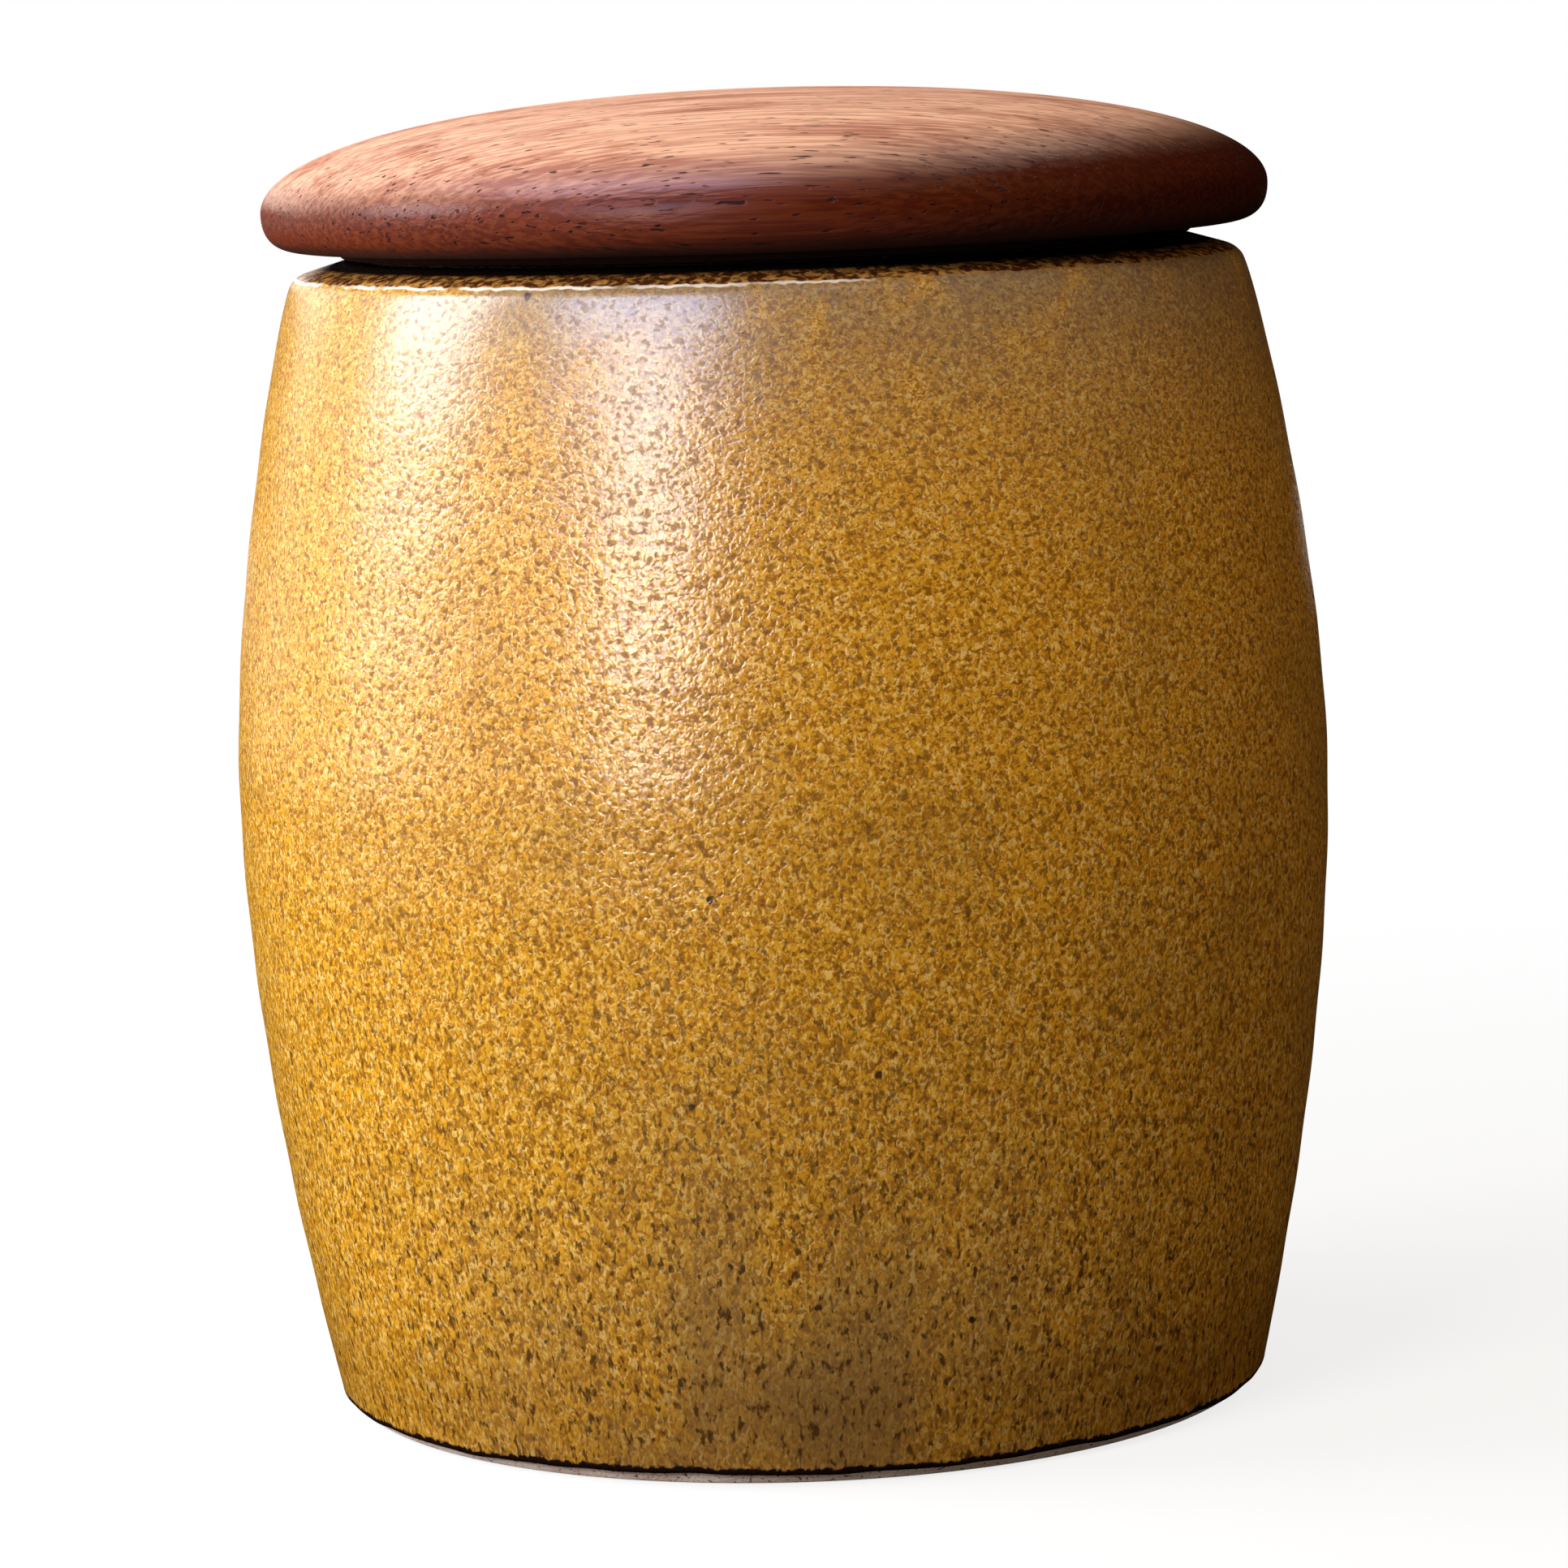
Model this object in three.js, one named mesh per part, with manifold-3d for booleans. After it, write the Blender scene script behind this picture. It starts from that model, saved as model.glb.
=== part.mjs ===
// A stoneware tobacco jar with a turned hardwood lid, in millimetres, +Z up.
// The origin is the centre of the foot ring, on the surface that the jar stands on.
// The lid lifts off with its plug, seal and humidifier; the humidifier pulls down out of the plug.

import * as THREE from "three";
import { mergeVertices } from "three/addons/utils/BufferGeometryUtils.js";
import Module from "manifold-3d";

const wasm = await Module();
wasm.setup();

// Jar: outside of the thrown stoneware body
const RIM_HEIGHT = 132;
const BELLY_RADIUS = 62.9;
const BELLY_HEIGHT = 71.3;
const SHOULDER_RADIUS = 53.8;
const SHOULDER_DROP = 1.6;
const SHOULDER_ROUND = 1.1;
const SHOULDER_LEAN = THREE.MathUtils.degToRad(35);
const FOOT_RADIUS = 52.3;
const FOOT_BEVEL = 1.8;
const FOOT_FLARE = THREE.MathUtils.degToRad(12.5);
const FOOT_RING_WIDTH = 7;
const BASE_RECESS = 2;

// Jar: rim, mouth and inside
const RIM_WIDTH = 7.8;
const RIM_LAND = 1.6;
const MOUTH_ROUND = 0.8;
const COLLAR_DEPTH = 18;
const COLLAR_FLARE = 14;
const WALL = 6.5;
const FLOOR = 8;
const FLOOR_CORNER = 9;

// Lid: turned cap, from the seat and the relief of its underside to its crown
const LID_RELIEF = 1;
const LID_OVERHANG = 3.7;
const LID_THICKNESS = 17.7;
const LID_EDGE_HEIGHT = 5.3;
const LID_EDGE_UNDERCUT = 4.6;

// Lid: plug under the cap, and the seal in its groove
const PLUG_WEB = 4.7;
const PLUG_CHAMFER = 1.5;
const SEAL_LAND = 2.5;
const SEAL_HEIGHT = 4;
const SEAL_WIDTH = 4;
const SEAL_ROUND = 1.2;

// Wood screws that hold the plug to the cap
const SCREW_COUNT = 3;
const SCREW_RADIUS = 1.75;
const SCREW_BITE = 9.5;
const SCREW_POINT = 3;
const SCREW_HEAD_RADIUS = 3.5;
const SCREW_HEAD_HEIGHT = 2;
const SCREW_HEAD_LIP = 0.4;

// Humidifier: a drawn cup with a flange, an absorbent pad and a perforated cover
const CUP_RADIUS = 20;
const CUP_DEPTH = 9;
const CUP_FLANGE_WIDTH = 3;
const SHEET = 0.8;
const COVER_SKIRT = 2.4;
const PAD_HEADROOM = 1;
const VENT_RADIUS = 1.6;
const VENT_RINGS = 2;
const VENT_MARGIN = 2.5;

// Clearances between neighbours
const SEAT_GAP = 0.3;
const JOINT_GAP = 0.25;
const PLUG_CLEARANCE = 0.8;
const SEAL_CLEARANCE = 0.3;
const CUP_CLEARANCE = 0.3;
const COVER_CLEARANCE = 0.2;
const SCREW_CLEARANCE = 0.25;

// How far each curve holds its end's direction, as a share of its own rise or reach
const BELLY_FULLNESS = 0.41;
const FOOT_FULLNESS = 0.17;
const SHOULDER_FULLNESS = 0.04;
const CROWN_FULLNESS = 0.57;
const EDGE_FULLNESS = 0.61;
const COLLAR_FULLNESS = 0.5;

// Facets: segments round the axis, and steps along each curve of a profile
const BODY_SEGMENTS = 64;
const FITTING_SEGMENTS = 40;
const SCREW_SEGMENTS = 16;
const VENT_SEGMENTS = 10;
const WALL_STEPS = 7;
const CROWN_STEPS = 10;
const ROUND_STEPS = 3;
const BEND_STEPS = 5;

// Sizes that follow from the ones above
const MOUTH_RADIUS = SHOULDER_RADIUS - RIM_WIDTH;
const CREST_RADIUS = MOUTH_RADIUS + MOUTH_ROUND + RIM_LAND;
const LID_RADIUS = SHOULDER_RADIUS + LID_OVERHANG;
const PLUG_RADIUS = MOUTH_RADIUS - PLUG_CLEARANCE;
const PLUG_THICKNESS = CUP_DEPTH + CUP_CLEARANCE + PLUG_WEB;
const SEAL_OUTSIDE = MOUTH_RADIUS - SEAL_CLEARANCE;
const SEAL_INSIDE = SEAL_OUTSIDE - SEAL_WIDTH;
const SEAL_FOOT = PLUG_CHAMFER + SEAL_LAND;
const GROOVE_RADIUS = SEAL_INSIDE - SEAL_CLEARANCE;
const CUP_FLANGE_RADIUS = CUP_RADIUS + CUP_FLANGE_WIDTH;
const COVER_RADIUS = CUP_RADIUS - SHEET - COVER_CLEARANCE;
const PAD_RADIUS = COVER_RADIUS - SHEET - COVER_CLEARANCE;
const PAD_THICKNESS = CUP_DEPTH - SHEET - COVER_CLEARANCE - PAD_HEADROOM;
const SCREW_CIRCLE = (CUP_FLANGE_RADIUS + GROOVE_RADIUS) / 2;
const SCREW_LENGTH = PLUG_THICKNESS + JOINT_GAP + SCREW_BITE;

// Finishes
const ochreGlaze = new THREE.MeshStandardMaterial({ color: 0xb07f2e, roughness: 0.38, metalness: 0 });
const oiledTeak = new THREE.MeshStandardMaterial({ color: 0x8a4a2a, roughness: 0.45, metalness: 0 });
const plainTeak = new THREE.MeshStandardMaterial({ color: 0x9a6238, roughness: 0.6, metalness: 0 });
const darkRubber = new THREE.MeshStandardMaterial({ color: 0x2a2522, roughness: 0.75, metalness: 0 });
const agedBrass = new THREE.MeshStandardMaterial({ color: 0xa8843f, roughness: 0.4, metalness: 1 });
const feltPad = new THREE.MeshStandardMaterial({ color: 0xd8cdb4, roughness: 0.95, metalness: 0 });

const SAME_POINT = 1e-4;

/** A point of a profile: radius from the axis, and height. */
function at(radius, height) {
  return new THREE.Vector2(radius, height);
}

/** One list of profile points from points and lists of points, without repeats. */
function joined(...stretches) {
  const points = [];
  for (const point of stretches.flat()) {
    const last = points.at(-1);
    if (!last || last.distanceTo(point) > SAME_POINT) points.push(point);
  }
  return points;
}

/** A corner between two points, rounded so that it leaves them towards the sharp corner. */
function rounded(from, corner, to, steps = ROUND_STEPS) {
  return new THREE.QuadraticBezierCurve(from, corner, to).getPoints(steps);
}

/** A profile turned about the vertical axis. It runs anticlockwise, from the axis and back to it. */
function turned(points, segments) {
  return new THREE.LatheGeometry(points, segments).rotateX(Math.PI / 2);
}

/** A profile clear of the axis, closed on itself and turned about the vertical axis. */
function turnedRing(points, segments) {
  return turned([...points, points[0].clone()], segments);
}

/** The solid inside a closed geometry, for cutting. */
function solidOf(geometry) {
  const bare = geometry.clone();
  bare.deleteAttribute("normal");
  bare.deleteAttribute("uv");
  const merged = mergeVertices(bare);
  const vertProperties = merged.attributes.position.array;
  const triVerts = new Uint32Array(merged.index.array);
  return new wasm.Manifold(new wasm.Mesh({ numProp: 3, vertProperties, triVerts }));
}

/** The surface of a solid, as a geometry. */
function geometryOf(solid) {
  const { vertProperties, triVerts } = solid.getMesh();
  const geometry = new THREE.BufferGeometry();
  geometry.setAttribute("position", new THREE.BufferAttribute(vertProperties, 3));
  geometry.setIndex(new THREE.BufferAttribute(triVerts, 1));
  geometry.computeVertexNormals();
  return geometry;
}

/** A geometry with the other geometries cut out of it. */
function cut(geometry, tools) {
  return geometryOf(tools.reduce((solid, tool) => solid.subtract(solidOf(tool)), solidOf(geometry)));
}

/** A named mesh at a height above its group's own origin. */
function piece(name, geometry, material, height = 0) {
  const mesh = new THREE.Mesh(geometry, material);
  mesh.name = name;
  mesh.position.z = height;
  return mesh;
}

/** The corner where the jar's wall would meet the rim's slope if the edge were sharp. */
function shoulderCorner() {
  return at(SHOULDER_RADIUS, RIM_HEIGHT - SHOULDER_DROP);
}

/** The outside of the jar's wall, from the top of the foot bevel to the start of the shoulder's edge. */
function outerWall() {
  const flare = at(Math.sin(FOOT_FLARE), Math.cos(FOOT_FLARE));
  const lean = at(-Math.sin(SHOULDER_LEAN), Math.cos(SHOULDER_LEAN));
  const foot = at(FOOT_RADIUS + FOOT_BEVEL, FOOT_BEVEL);
  const belly = at(BELLY_RADIUS, BELLY_HEIGHT);
  const edge = shoulderCorner().addScaledVector(lean, -SHOULDER_ROUND);
  const lowerRise = belly.y - foot.y;
  const upperRise = edge.y - belly.y;
  const lower = new THREE.CubicBezierCurve(
    foot,
    foot.clone().addScaledVector(flare, FOOT_FULLNESS * lowerRise),
    at(belly.x, belly.y - BELLY_FULLNESS * lowerRise),
    belly,
  );
  const upper = new THREE.CubicBezierCurve(
    belly,
    at(belly.x, belly.y + BELLY_FULLNESS * upperRise),
    edge.clone().addScaledVector(lean, -SHOULDER_FULLNESS * upperRise),
    edge,
  );
  return joined(lower.getPoints(WALL_STEPS), upper.getPoints(WALL_STEPS));
}

/** The radius of a rising list of wall points at one height. */
function radiusAt(wall, height) {
  const above = Math.max(1, wall.findIndex((point) => point.y >= height));
  const low = wall[above - 1];
  const high = wall[above];
  return THREE.MathUtils.mapLinear(height, low.y, high.y, low.x, high.x);
}

/** The outside of the jar: recessed base, foot ring, bevel, wall and shoulder, up to the rim's crest. */
function jarOutside(wall) {
  const ringInside = FOOT_RADIUS - FOOT_RING_WIDTH;
  const corner = shoulderCorner();
  const crest = at(CREST_RADIUS, RIM_HEIGHT);
  const slope = crest.clone().sub(corner).normalize();
  return joined(
    at(0, BASE_RECESS),
    at(ringInside - BASE_RECESS, BASE_RECESS),
    at(ringInside, 0),
    at(FOOT_RADIUS, 0),
    wall,
    rounded(wall.at(-1), corner, corner.clone().addScaledVector(slope, SHOULDER_ROUND)),
    crest,
  );
}

/** The inside of the jar: mouth, straight collar, flare, inside wall, floor corner and floor. */
function jarInside(wall) {
  const collarFoot = RIM_HEIGHT - COLLAR_DEPTH;
  const flareFoot = collarFoot - COLLAR_FLARE;
  const cornerTop = FLOOR + FLOOR_CORNER;
  const insideRadius = (height) => radiusAt(wall, height) - WALL;
  const flareRadius = insideRadius(flareFoot);
  const cornerRadius = insideRadius(cornerTop);
  const reach = COLLAR_FULLNESS * COLLAR_FLARE;
  const flare = new THREE.CubicBezierCurve(
    at(MOUTH_RADIUS, collarFoot),
    at(MOUTH_RADIUS, collarFoot - reach),
    at(flareRadius, flareFoot + reach),
    at(flareRadius, flareFoot),
  );
  const wallHeights = wall.map((point) => point.y).filter((y) => y > cornerTop && y < flareFoot);
  return joined(
    rounded(
      at(MOUTH_RADIUS + MOUTH_ROUND, RIM_HEIGHT),
      at(MOUTH_RADIUS, RIM_HEIGHT),
      at(MOUTH_RADIUS, RIM_HEIGHT - MOUTH_ROUND),
    ),
    flare.getPoints(BEND_STEPS),
    wallHeights.reverse().map((height) => at(insideRadius(height), height)),
    rounded(
      at(cornerRadius, cornerTop),
      at(cornerRadius, FLOOR),
      at(cornerRadius - FLOOR_CORNER, FLOOR),
      BEND_STEPS,
    ),
    at(0, FLOOR),
  );
}

/** The thrown jar, turned from one section. */
function jarBody() {
  const wall = outerWall();
  return turned(joined(jarOutside(wall), jarInside(wall)), BODY_SEGMENTS);
}

/** The places of the plug's screws round the axis. */
function screwPlaces() {
  const places = [];
  for (let i = 0; i < SCREW_COUNT; i += 1) {
    const angle = (i / SCREW_COUNT) * 2 * Math.PI;
    places.push(at(SCREW_CIRCLE * Math.cos(angle), SCREW_CIRCLE * Math.sin(angle)));
  }
  return places;
}

/** A countersunk screw, head down with its face at height 0, grown all round by a clearance. */
function screwShape(grown) {
  const shank = SCREW_RADIUS + grown;
  const head = SCREW_HEAD_RADIUS + grown;
  const section = joined(
    at(0, -grown),
    at(head, -grown),
    at(head, SCREW_HEAD_LIP),
    at(shank, SCREW_HEAD_LIP + SCREW_HEAD_HEIGHT),
    at(shank, SCREW_LENGTH - SCREW_POINT),
    at(0, SCREW_LENGTH + grown),
  );
  return turned(section, SCREW_SEGMENTS);
}

/** Screw-shaped cuts for a piece whose own origin is at some height above the screw heads. */
function screwCuts(originAboveHeads) {
  return screwPlaces().map((place) =>
    screwShape(SCREW_CLEARANCE).translate(place.x, place.y, -originAboveHeads),
  );
}

/** The turned cap: seat, relieved underside, round edge and low crown, with blind screw holes. */
function lidCap() {
  const crown = new THREE.CubicBezierCurve(
    at(LID_RADIUS, LID_EDGE_HEIGHT),
    at(LID_RADIUS, LID_EDGE_HEIGHT + EDGE_FULLNESS * (LID_THICKNESS - LID_EDGE_HEIGHT)),
    at(CROWN_FULLNESS * LID_RADIUS, LID_THICKNESS),
    at(0, LID_THICKNESS),
  );
  const section = joined(
    at(0, 0),
    at(CREST_RADIUS, 0),
    at(CREST_RADIUS + LID_RELIEF, LID_RELIEF),
    rounded(
      at(LID_RADIUS - LID_EDGE_UNDERCUT, LID_RELIEF),
      at(LID_RADIUS, LID_RELIEF),
      at(LID_RADIUS, LID_EDGE_HEIGHT),
      BEND_STEPS,
    ),
    crown.getPoints(CROWN_STEPS),
  );
  return cut(turned(section, BODY_SEGMENTS), screwCuts(PLUG_THICKNESS + JOINT_GAP));
}

/** The plug, standing on its lower face: chamfered edge, seal groove, recess for the cup, and screw holes. */
function lidPlug() {
  const grooveFoot = SEAL_FOOT - SEAL_CLEARANCE;
  const grooveTop = SEAL_FOOT + SEAL_HEIGHT + SEAL_CLEARANCE;
  const recessRadius = CUP_RADIUS + CUP_CLEARANCE;
  const recessTop = CUP_DEPTH + CUP_CLEARANCE;
  const section = joined(
    at(0, recessTop),
    at(recessRadius, recessTop),
    at(recessRadius, 0),
    at(PLUG_RADIUS - PLUG_CHAMFER, 0),
    at(PLUG_RADIUS, PLUG_CHAMFER),
    at(PLUG_RADIUS, grooveFoot),
    at(GROOVE_RADIUS, grooveFoot),
    at(GROOVE_RADIUS, grooveTop),
    at(PLUG_RADIUS, grooveTop),
    at(PLUG_RADIUS, PLUG_THICKNESS),
    at(0, PLUG_THICKNESS),
  );
  return cut(turned(section, BODY_SEGMENTS), screwCuts(0));
}

/** The seal: a ring with a flat back in the groove and a rounded face towards the mouth's wall. */
function sealRing() {
  const section = joined(
    at(SEAL_INSIDE, 0),
    rounded(at(SEAL_OUTSIDE - SEAL_ROUND, 0), at(SEAL_OUTSIDE, 0), at(SEAL_OUTSIDE, SEAL_ROUND)),
    rounded(
      at(SEAL_OUTSIDE, SEAL_HEIGHT - SEAL_ROUND),
      at(SEAL_OUTSIDE, SEAL_HEIGHT),
      at(SEAL_OUTSIDE - SEAL_ROUND, SEAL_HEIGHT),
    ),
    at(SEAL_INSIDE, SEAL_HEIGHT),
  );
  return turnedRing(section, BODY_SEGMENTS);
}

/** The drawn cup, mouth down, with its flange's upper face at height 0. */
function humidifierCup() {
  const inside = CUP_RADIUS - SHEET;
  const section = joined(
    at(0, CUP_DEPTH - SHEET),
    at(inside, CUP_DEPTH - SHEET),
    at(inside, -SHEET),
    at(CUP_FLANGE_RADIUS, -SHEET),
    at(CUP_FLANGE_RADIUS, 0),
    at(CUP_RADIUS, 0),
    at(CUP_RADIUS, CUP_DEPTH),
    at(0, CUP_DEPTH),
  );
  return turned(section, FITTING_SEGMENTS);
}

/** The vents of the cover: one in the middle and full rings round it. */
function ventCuts() {
  const pitch = (COVER_RADIUS - SHEET - VENT_MARGIN - VENT_RADIUS) / VENT_RINGS;
  const vents = [];
  for (let ring = 0; ring <= VENT_RINGS; ring += 1) {
    const count = Math.max(1, 6 * ring);
    for (let i = 0; i < count; i += 1) {
      const angle = (i / count) * 2 * Math.PI;
      const vent = new THREE.CylinderGeometry(VENT_RADIUS, VENT_RADIUS, 4 * SHEET, VENT_SEGMENTS);
      vent.rotateX(Math.PI / 2);
      vents.push(vent.translate(ring * pitch * Math.cos(angle), ring * pitch * Math.sin(angle), 0));
    }
  }
  return vents;
}

/** The cover: a perforated disc with a turned-up skirt that grips the inside of the cup. */
function humidifierCover() {
  const section = joined(
    at(0, 0),
    at(COVER_RADIUS, 0),
    at(COVER_RADIUS, COVER_SKIRT),
    at(COVER_RADIUS - SHEET, COVER_SKIRT),
    at(COVER_RADIUS - SHEET, SHEET),
    at(0, SHEET),
  );
  return cut(turned(section, FITTING_SEGMENTS), ventCuts());
}

/** The absorbent pad: a disc that lies on the cover's floor, inside its skirt. */
function humidifierPad() {
  const section = [at(0, 0), at(PAD_RADIUS, 0), at(PAD_RADIUS, PAD_THICKNESS), at(0, PAD_THICKNESS)];
  return turned(section, FITTING_SEGMENTS);
}

/** The humidifier, whose origin is the face of its flange that meets the plug. */
function humidifier() {
  const group = new THREE.Group();
  group.add(
    piece("humidifier_cup", humidifierCup(), agedBrass),
    piece("humidifier_cover", humidifierCover(), agedBrass, -SHEET),
    piece("humidifier_pad", humidifierPad(), feltPad, COVER_CLEARANCE),
  );
  return group;
}

/** The lid, whose origin is the centre of the cap's underside. */
function lid() {
  const group = new THREE.Group();
  const plugFoot = -JOINT_GAP - PLUG_THICKNESS;
  group.add(
    piece("lid_cap", lidCap(), oiledTeak),
    piece("lid_plug", lidPlug(), plainTeak, plugFoot),
    piece("seal_ring", sealRing(), darkRubber, plugFoot + SEAL_FOOT),
  );
  screwPlaces().forEach((place, i) => {
    const screw = piece(`plug_screw_${i + 1}`, screwShape(0), agedBrass);
    screw.position.set(place.x, place.y, plugFoot);
    group.add(screw);
  });
  const moistener = humidifier();
  moistener.position.z = plugFoot - JOINT_GAP;
  group.add(moistener);
  return group;
}

const tobaccoJar = new THREE.Group();
const liftedTop = lid();
liftedTop.position.z = RIM_HEIGHT + SEAT_GAP;
tobaccoJar.add(piece("jar_body", jarBody(), ochreGlaze), liftedTop);

export default tobaccoJar;
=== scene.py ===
"""Dresses a glazed stoneware tobacco jar with a turned hardwood lid.

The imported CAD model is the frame. Each of its ten nodes is replaced by a finer mesh of the same size, in the
same place and on the same body, with a procedural finish. Sizes are in millimetres until a mesh is made, and
heights are above the surface that the jar stands on.
"""

import logging
import math
from collections.abc import Callable, Mapping, Sequence
from dataclasses import dataclass, field
from enum import Enum, IntEnum
from functools import partial

import bmesh
import bpy
import numpy as np
from mathutils import Matrix, Quaternion, Vector


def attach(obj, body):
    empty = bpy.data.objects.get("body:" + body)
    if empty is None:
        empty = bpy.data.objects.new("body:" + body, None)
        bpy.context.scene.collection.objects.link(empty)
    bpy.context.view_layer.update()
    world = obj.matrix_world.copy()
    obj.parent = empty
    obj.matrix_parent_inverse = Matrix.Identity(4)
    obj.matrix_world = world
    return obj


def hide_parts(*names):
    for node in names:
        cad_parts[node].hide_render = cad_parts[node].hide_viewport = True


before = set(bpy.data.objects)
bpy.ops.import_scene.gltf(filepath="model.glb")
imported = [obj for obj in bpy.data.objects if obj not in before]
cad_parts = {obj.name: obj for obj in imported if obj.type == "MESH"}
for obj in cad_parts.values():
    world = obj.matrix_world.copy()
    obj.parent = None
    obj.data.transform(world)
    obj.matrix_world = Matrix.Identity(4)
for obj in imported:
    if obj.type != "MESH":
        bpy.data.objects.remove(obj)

log = logging.getLogger("tobacco_jar")

MM = 0.001
SAME_POINT = 1e-6
ON_FACE = 0.1
SHARP_ANGLE = math.radians(40)

Point = tuple[float, float]
Corner = tuple[float, float, float]
Relief = Callable[[np.ndarray, np.ndarray, np.ndarray], tuple[np.ndarray, np.ndarray]]
Layer = tuple[bpy.types.Node, str | bpy.types.Node]


class Body(Enum):
    """The frame's bodies, which the pieces ride on."""

    JAR = "jar"
    SEAL = "seal"
    LID = "lid"
    HUMIDIFIER = "humidifier"


class Slot(Enum):
    """The record's material slots."""

    STONEWARE = "stoneware"
    LID_WOOD = "lid_wood"
    PLUG_WOOD = "plug_wood"
    SEAL_RUBBER = "seal_rubber"
    SCREW_BRASS = "screw_brass"
    CUP_BRASS = "cup_brass"
    PAD_FELT = "pad_felt"


class Coat(IntEnum):
    """What covers each stretch of the jar's section, as the place of its material on the jar."""

    BARE = 0
    GLAZE = 1
    LINER = 2


class Reach(Enum):
    """What a lamp gives: everything, only its own reflection, or only light on the colour of surfaces."""

    ALL = "all"
    GLINT = "glint"
    WASH = "wash"


# Sections and meshes


@dataclass(frozen=True)
class Stretch:
    """A stretch of a half section: points of radius and height, and the place of its material."""

    points: list[Point]
    finish: int = 0


def bezier(handles: Sequence[Point], steps: int) -> list[Point]:
    """Walk a Bezier curve.

    Args:
        handles: The curve's first point, its handles and its last point.
        steps: How many steps to take along it.

    Returns:
        The points of the curve, both ends included.
    """
    share = np.linspace(0.0, 1.0, steps + 1)[:, None]
    level = [np.array(handle)[None, :] for handle in handles]
    while len(level) > 1:
        level = [(1 - share) * near + share * far for near, far in zip(level, level[1:])]
    return [tuple(point) for point in level[0].tolist()]


def rounded(corners: Sequence[Corner], step: float, bend_steps: int = 5) -> list[Point]:
    """Walk straight lines from corner to corner, and round each corner between the ends.

    Args:
        corners: Radius, height and rounding of each corner.
        step: The longest step along a straight line.
        bend_steps: How many steps to take round a corner.

    Returns:
        The points of the walk.
    """
    spots = [np.array(corner[:2]) for corner in corners]
    runs = [[spots[0]]]
    for before, (spot, corner), after in zip(spots, list(zip(spots, corners))[1:], spots[2:]):
        to_before = before - spot
        to_after = after - spot
        reach_before = min(corner[2], np.linalg.norm(to_before) / 2)
        reach_after = min(corner[2], np.linalg.norm(to_after) / 2)
        start = spot + to_before / np.linalg.norm(to_before) * reach_before
        end = spot + to_after / np.linalg.norm(to_after) * reach_after
        runs.append([np.array(p) for p in bezier((start, spot, end), bend_steps)])
    runs.append([spots[-1]])
    points = []
    for run, following in zip(runs, runs[1:]):
        points.extend(run)
        gap = following[0] - run[-1]
        count = max(1, math.ceil(np.linalg.norm(gap) / step))
        points.extend(run[-1] + gap * i / count for i in range(1, count))
    points.extend(runs[-1])
    return [tuple(point) for point in np.array(points).tolist()]


def revolve(
    name: str, stretches: Sequence[Stretch], segments: int, relief: Relief | None = None
) -> bpy.types.Mesh:
    """Turn a half section about the vertical axis.

    The section runs outwards along the underside, up the outside and back, so that its faces look outwards.
    A section that ends where it starts makes a ring.

    Args:
        name: The mesh's name.
        stretches: The section, in millimetres.
        segments: How many steps to take round the axis.
        relief: Takes the grid's angles, radii and heights, and gives its radii and heights back.

    Returns:
        The mesh, in metres and shaded smooth.
    """
    points: list[Point] = []
    finishes: list[int] = []
    for stretch in stretches:
        for point in stretch.points:
            if points and math.dist(points[-1], point) < SAME_POINT:
                continue
            if points:
                finishes.append(stretch.finish)
            points.append(point)
    is_ring = math.dist(points[0], points[-1]) < SAME_POINT
    if is_ring:
        points.pop()
    angle = np.linspace(0.0, math.tau, segments, endpoint=False)[:, None]
    radius, height = (np.tile(values, (segments, 1)) for values in np.array(points).T)
    if relief is not None:
        radius, height = relief(angle, radius, height)
    place = np.stack((radius * np.cos(angle), radius * np.sin(angle), height), axis=-1).reshape(-1, 3)
    index = np.arange(segments * len(points)).reshape(segments, -1)
    for end in (0, -1):
        if points[end][0] < SAME_POINT:
            index[:, end] = index[0, end]
    if is_ring:
        index = np.concatenate((index, index[:, :1]), axis=1)
    kept = np.unique(index)
    packed = np.zeros(len(place), int)
    packed[kept] = np.arange(len(kept))
    index = packed[index]
    onward = np.roll(index, -1, axis=0)
    quads = np.stack((index[:, :-1], onward[:, :-1], onward[:, 1:], index[:, 1:]), axis=-1)
    mesh = bpy.data.meshes.new(name)
    mesh.from_pydata(place[kept] * MM, [], [tuple(dict.fromkeys(q)) for q in quads.reshape(-1, 4).tolist()])
    mesh.polygons.foreach_set("material_index", np.tile(finishes, segments).astype(np.int32))
    mesh.shade_smooth()
    mesh.update()
    return mesh


def as_mesh(name: str, shape: bmesh.types.BMesh) -> bpy.types.Mesh:
    """Turn a shape into a mesh, and free the shape.

    Args:
        name: The mesh's name.
        shape: The shape.

    Returns:
        The mesh.
    """
    mesh = bpy.data.meshes.new(name)
    shape.to_mesh(mesh)
    shape.free()
    return mesh


def joined(name: str, meshes: Sequence[bpy.types.Mesh]) -> bpy.types.Mesh:
    """Put several meshes into one.

    Args:
        name: The new mesh's name.
        meshes: The meshes, which are removed.

    Returns:
        The new mesh.
    """
    shape = bmesh.new()
    for mesh in meshes:
        shape.from_mesh(mesh)
        bpy.data.meshes.remove(mesh)
    return as_mesh(name, shape)


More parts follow.
